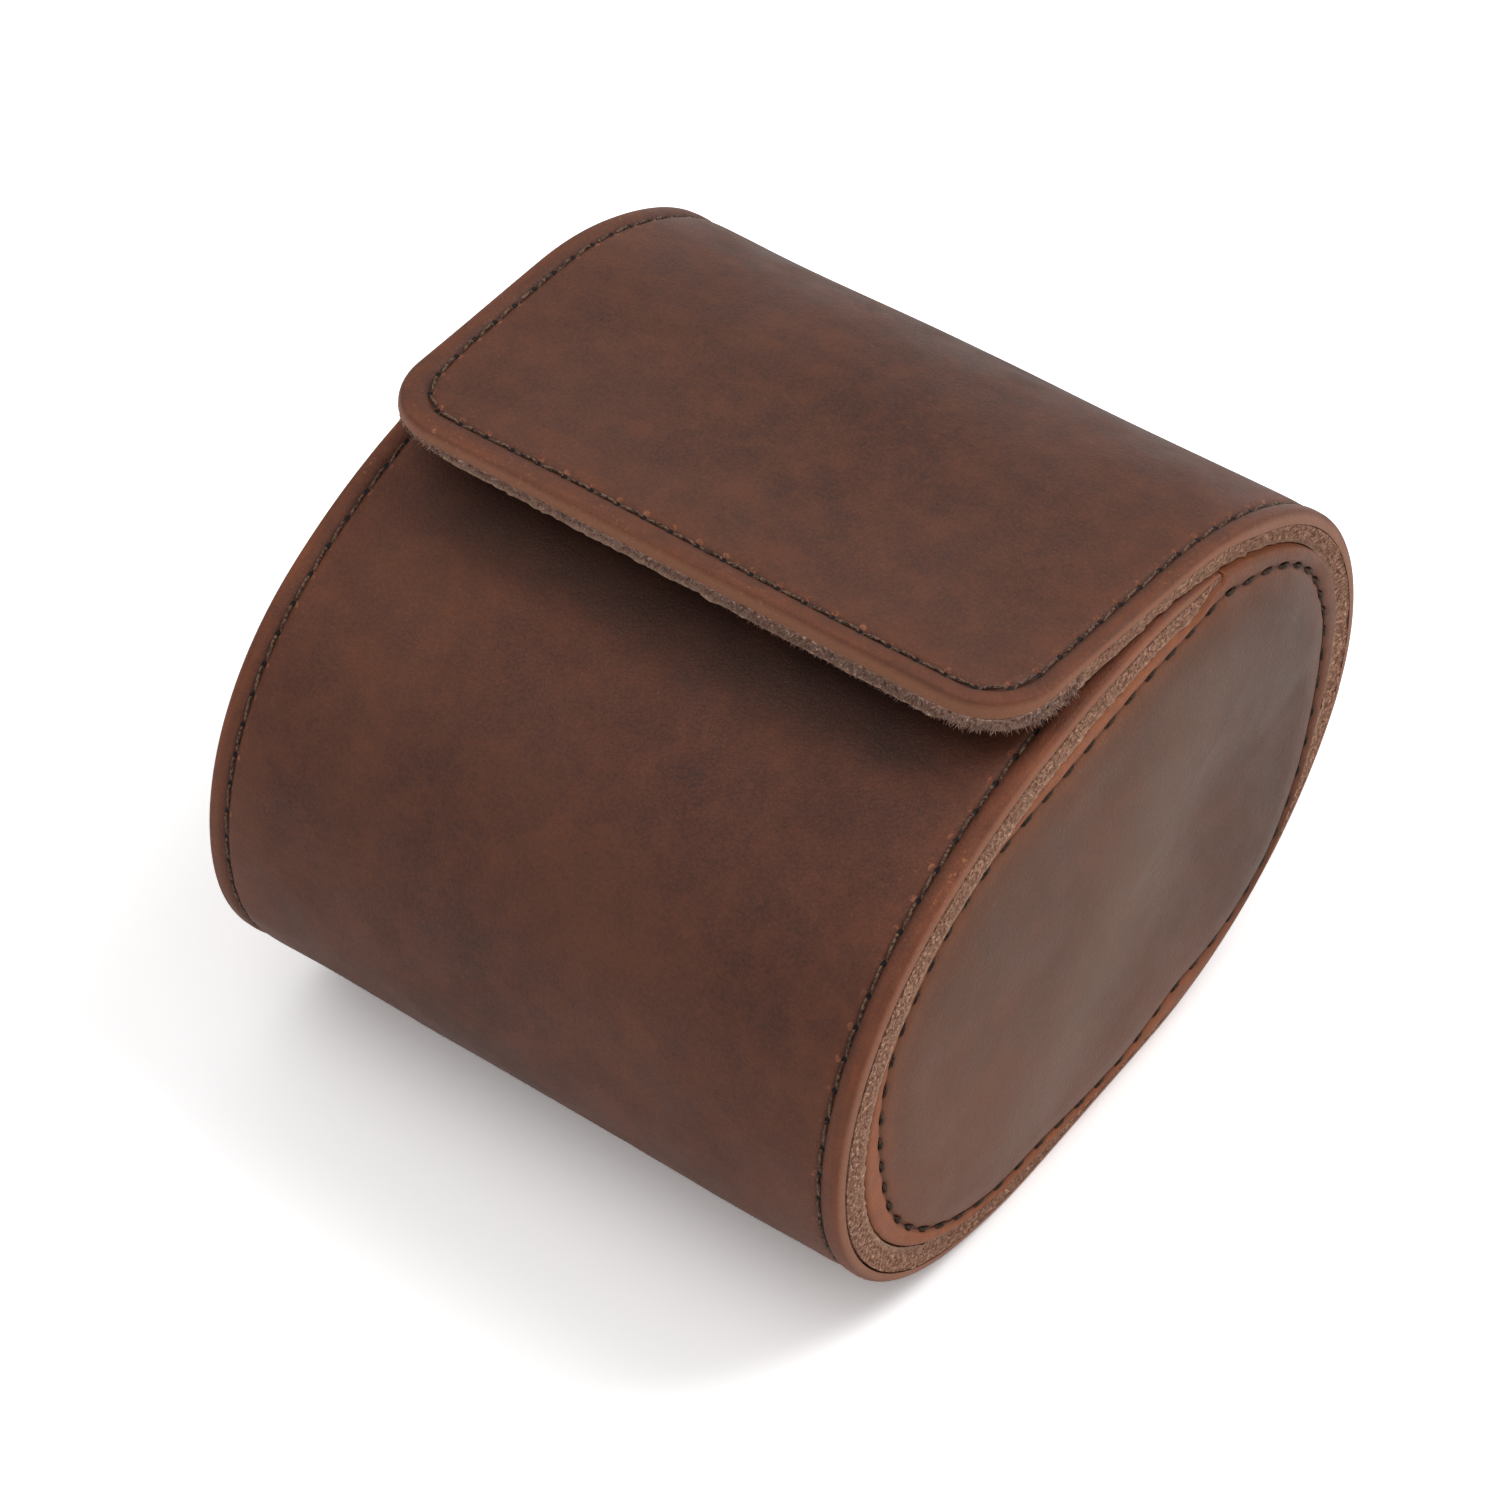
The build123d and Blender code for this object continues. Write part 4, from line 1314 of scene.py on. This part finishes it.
@dataclass
class Cushion:
    """Loose sewn cushion that the watch is strapped round."""

    stitching: Stitching
    centre: tuple[float, float] = (-3.8, 26.2)
    width: float = 74.0
    height: float = 42.0
    half_length: float = 37.6
    side_turn: float = 59.5
    stations: int = 288
    disc: tuple[float, ...] = (0.0, 0.25, 0.5, 0.75, 0.92)
    # Distance from the end and depth below the full oval
    profile: Table = (
        (0.0, 6.5), (0.5, 4.2), (1.3, 2.6), (2.2, 2.0), (2.8, 2.3), (3.2, 2.3), (3.8, 1.6), (5.0, 0.9), (7.0, 0.4),
        (10.0, 0.1), (16.0, -0.1), (24.0, -0.2), (32.0, -0.25),
    )
    chain: Chain = field(init=False)

    def __post_init__(self) -> None:
        """Lay the oval of the cushion's cross-section."""
        side, top = Vector((self.width / 2, 0)), Vector((0, self.height / 2))
        turn, pair = self.side_turn, Section.pair
        legs = pair(side, 0, top, 90, turn) + pair(top, 90, -side, 180, 180 - turn)
        legs += pair(-side, 180, -top, 270, 180 + turn) + pair(-top, 270, side, 360, 360 - turn)
        self.chain = Chain(side, 0, legs)

    def place(self, x: float, station: float, depth: float) -> Vector:
        """Place a point of the cover in space."""
        point, _ = self.chain.at(self.chain.length * (station % self.stations) / self.stations, depth)
        return Vector((x, point.x + self.centre[0], point.y + self.centre[1])) * MM

    def _spot(self, end: End, row: int, station: float) -> Vector:
        """Place a point of the cover in a row that counts from the middle of an end disc."""
        half, side = self.half_length, end.value
        if row < len(self.disc):
            k = self.disc[row]
            rim, middle = self.place(0, station, self.profile[0][1]), Vector((0, *self.centre)) * MM
            return middle + (rim - middle) * k + Vector((side * (half - 0.2 + 0.8 * (1 - k * k)), 0, 0)) * MM
        inset, depth = self.profile[row - len(self.disc)]
        pucker = 0.22 * math.sin(station * 0.9) * bump(inset, 4.5, 2.5)
        slack = 0.35 * wave(station * 0.09, side * (half - inset) * 0.12, 4.0)
        return self.place(side * (half - inset), station, depth + pucker + slack)

    def cover(self, cloth: Material) -> Object:
        """Make the stuffed cover with its two end discs."""
        rows = range(len(self.disc) + len(self.profile))
        lines = [(End.LEFT, row) for row in rows] + [(End.RIGHT, row) for row in reversed(rows)]
        sheet = grid(self.stations, len(lines) - 1)
        for vert in sheet.verts:
            vert.co = self._spot(*lines[int(vert.co.y)], vert.co.x)
        close(sheet)
        replaced = ("cushion_cover", "cushion_end_left", "cushion_end_right")
        made = piece(sheet, "cushion_sewn_cover", [cloth], "cushion_cover", *replaced)
        return made

    def stitches(self, thread: Material) -> list[Object]:
        """Make the two seams where the cover meets its end discs."""
        made = []
        count = self.stitching.count(self.chain.length)
        for end in End:
            x, name = end.value * (self.half_length - self.stitching.inset), end.name.lower()
            spots = [self.place(x, self.stations * k / count, 2.1) for k in range(count)]
            places = []
            for number, first in enumerate(spots):
                way = facing(self.chain.at(self.chain.length * (number + 0.5) / count)[1])
                places.append((first, spots[(number + 1) % count], Vector((0, way.x, way.y))))
            row = self.stitching.row(places)
            made.append(piece(row, f"cushion_seam_{name}", [thread], "thread", f"cushion_thread_{name}"))
        return made


# Studio


@dataclass(frozen=True)
class Studio:
    """Pale floor, soft lights and the camera of the photograph, whose places are in metres here."""

    camera_place: tuple[float, float, float] = (0.29181, -0.33189, 0.53477)
    right: tuple[float, float, float] = (0.79256, 0.60588, -0.06903)
    down: tuple[float, float, float] = (0.42093, -0.62548, -0.65696)
    forward: tuple[float, float, float] = (-0.44121, 0.49162, -0.75076)
    lens: float = 132.0
    aim: tuple[float, float, float] = (0.0, 0.0, 0.035)

    @staticmethod
    def show(name: str, data: bpy.types.ID) -> Object:
        """Put a camera, lamp or mesh in the scene."""
        thing = bpy.data.objects.new(name, data)
        bpy.context.scene.collection.objects.link(thing)
        return thing

    def camera(self) -> None:
        """Make the camera at the photograph's viewing angle."""
        data = bpy.data.cameras.new("camera")
        data.lens, data.sensor_width = self.lens, 36.0
        data.clip_start, data.clip_end = 0.01, 50.0
        camera = self.show("camera", data)
        axes = Matrix((self.right, -Vector(self.down), -Vector(self.forward))).transposed()
        camera.matrix_world = Matrix.Translation(Vector(self.camera_place)) @ axes.to_4x4()
        bpy.context.scene.camera = camera

    def lamp(self, name: str, place: tuple[float, float, float], size: float, power: float) -> None:
        """Add a square soft box that faces the case.

        Args:
            name: Its name.
            place: Its middle.
            size: Length of its sides.
            power: Its power in watts.
        """
        data = bpy.data.lights.new(name, "AREA")
        data.energy, data.size = power, size
        lamp = self.show(name, data)
        lamp.location = place
        lamp.rotation_euler = (Vector(self.aim) - Vector(place)).to_track_quat("-Z", "Y").to_euler()

    def floor(self) -> None:
        """Make the pale floor, white to the camera wherever no shadow falls."""
        sheet = bmesh.new()
        bmesh.ops.create_grid(sheet, x_segments=8, y_segments=8, size=3.0)
        bmesh.ops.translate(sheet, verts=sheet.verts[:], vec=(0, 0, -0.05 * MM))
        mesh = bpy.data.meshes.new("floor")
        sheet.to_mesh(mesh)
        sheet.free()
        # Matt white paper: even and without shine, so that only the shadow shows on it
        material = bpy.data.materials.new("white_paper")
        material.use_nodes = True
        tree = material.node_tree
        tree.nodes.clear()
        path = add(tree, "ShaderNodeLightPath").outputs["Is Camera Ray"]
        paper = add(tree, "ShaderNodeBsdfDiffuse", Color=linear("#f7f7f6"))
        # The camera sees the paper a little brighter, so that it is white wherever no shadow falls
        seen = add(tree, "ShaderNodeBsdfDiffuse", Color=(1.6, 1.6, 1.6, 1))
        both = add(tree, "ShaderNodeMixShader", in_0=path, in_1=paper, in_2=seen)
        add(tree, "ShaderNodeOutputMaterial", Surface=both)
        mesh.materials.append(material)
        self.show("floor", mesh)

    def world(self) -> None:
        """Light the case evenly and show white behind it."""
        world = bpy.data.worlds.new("studio")
        bpy.context.scene.world = world
        world.use_nodes = True
        tree = world.node_tree
        tree.nodes.clear()
        path = add(tree, "ShaderNodeLightPath").outputs["Is Camera Ray"]
        light, white = (
            add(tree, "ShaderNodeBackground", Color=(1, 1, 1, 1), Strength=strength) for strength in (0.5, 1.0)
        )
        both = add(tree, "ShaderNodeMixShader", in_0=path, in_1=light, in_2=white)
        add(tree, "ShaderNodeOutputWorld", Surface=both)

    def build(self) -> None:
        """Set up the whole studio."""
        self.camera()
        self.floor()
        self.world()
        self.lamp("key_box", (0.45, 0.5, 0.85), 0.5, 5.2)
        self.lamp("fill_box", (-0.2, -0.35, 1.0), 0.8, 2.4)
        bpy.context.scene.view_settings.view_transform = "Standard"


# Finishes of the pieces and of the imported nodes

# Oiled cowhide, drum-dyed: cloudy brown with a soft sheen; the flap's copy is darker and a little greyer, painted
# shade that evens out the stronger light on its top
WRAP_LEATHER = OiledLeather("oiled_cowhide")
FLAP_LEATHER = OiledLeather("oiled_cowhide_flap", "#4b3128", "#3f2820", "#82492f")
# Waxed cowhide, stretched and polished: greyer, smoother and with a wider highlight; a grey band of painted sheen runs
# along its soft fold
PANEL_LEATHER = OiledLeather(
    "waxed_cowhide", "#6f4938", "#5e4234", "#9c5834", bloom="#826a5c", gloss=0.46, hole=(1.1, 0.4), nub=0.0,
    mottle=0.12,
)
# Knife-cut hide: pale, rough and full of short fibres; the frayed fibres and the flap's front cut wall get a paler
# copy, painted light that lifts them out of the shade they lie in
RAW_EDGE = CutLeather("raw_leather_edge")
FRAYED_EDGE = CutLeather("loose_hide_fibres", "#f6cfbc", "#a8705a")
# Split suede: one even brown with a short dull nap
SUEDE = PlainFinish("split_suede", "#704c3b", "#845d4a", 0.95, size=0.6, height=0.12, shine=0.15)
# Waxed linen thread: dark, with pale spots that are painted highlights on its plies; the panels' thread is darker
# still, painted shade for the dark slots it lies in
THREAD = PlainFinish("waxed_thread", "#2b1e17", "#7b6151", 0.6, size=0.4, shine=0.2)
DARK_THREAD = PlainFinish("tarred_thread", "#1c120d", "#4a3626", 0.6, size=0.4, shine=0.2)
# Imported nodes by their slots: each is plain, because it is hidden or another piece stands for it
PACKED = {
    # Pressed fibreboard: matt and grey-brown
    "board": PlainFinish("pressed_fibreboard", "#8a7c6c", "#a09282", 0.9),
    # Nickel plate: bright and smooth
    "magnet": PlainFinish("nickel_plate", "#c8c6c2", "#d8d6d2", 0.25, 1.0),
    # Rolled mild steel: darker and duller than the plate
    "keeper": PlainFinish("mild_steel", "#8c8c8e", "#a8a8aa", 0.4, 1.0),
    # Suede: a dull nap
    "lining": PlainFinish("brown_suede", "#5c3d30", "#74503f", 0.95, size=0.15, shine=0.4),
    # Woven microsuede: soft, even and matt
    "cushion_cover": PlainFinish("brown_microsuede", "#5a3e32", "#6d4d3e", 0.9, size=0.1),
    # Foam: pale yellow with open cells
    "cushion_core": PlainFinish("open_cell_foam", "#d9cfae", "#e6ddc0", 0.95, size=0.2, shine=0.4),
    # Backs of the leather, and thread: even and matt
    "panel_leather": PlainFinish("panel_back", "#5c3d30", "#74503f", 0.9),
    "grain_leather": PlainFinish("leather_back", "#5c3d30", "#74503f", 0.9),
    "thread": PlainFinish("thread", "#241b17", "#3b2d26", 0.6),
}


def main() -> None:
    """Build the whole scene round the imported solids."""
    logging.basicConfig(level=logging.INFO, format="%(message)s")
    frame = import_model()
    section, stitching = Section(), Stitching()
    cut, frayed, suede, thread = (kind.material() for kind in (RAW_EDGE, FRAYED_EDGE, SUEDE, THREAD))
    panel_leather, dark_thread = PANEL_LEATHER.material(), DARK_THREAD.material()
    packed = {slot: finish.material() for slot, finish in PACKED.items()}
    for entry in frame["record"]["subparts"]:
        node = frame["nodes"][entry["node"]]
        node.data.materials.clear()
        node.data.materials.append(packed[entry["material_slot"]])
    wrap = Wrap(section, stitching, Edging(stitching))
    fixed = [wrap.grain(WRAP_LEATHER.material(), suede), wrap.lining(cut, suede), wrap.stiffener(packed["board"])]
    fixed += [*wrap.stitches(thread), wrap.fibres(Fibres(0.45, 0.05, seed=3), 3500, cut)]
    for end in End:
        panel = EndPanel(section, stitching, end)
        fixed += [panel.build(panel_leather), panel.stitches(dark_thread), panel.lining(packed["lining"])]
    for thing in fixed:
        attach(thing, "case")
    cushion = Cushion(stitching)
    for thing in (cushion.cover(packed["cushion_cover"]), *cushion.stitches(thread)):
        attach(thing, "cushion")
    flap = Flap(section, stitching, Edging(stitching, pared=1.7, wear=0.6))
    moving = [flap.grain(FLAP_LEATHER.material(), suede), flap.lining(cut, suede, frayed), flap.stitches(thread)]
    moving.append(flap.fibres(Fibres(1.25, 0.1), 4200, frayed))
    start, end_point = flap.hinge()
    for thing in moving:
        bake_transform(thing, "case", "flap", start=start, end=end_point)
    Studio().build()


if __name__ == "__main__":
    main()
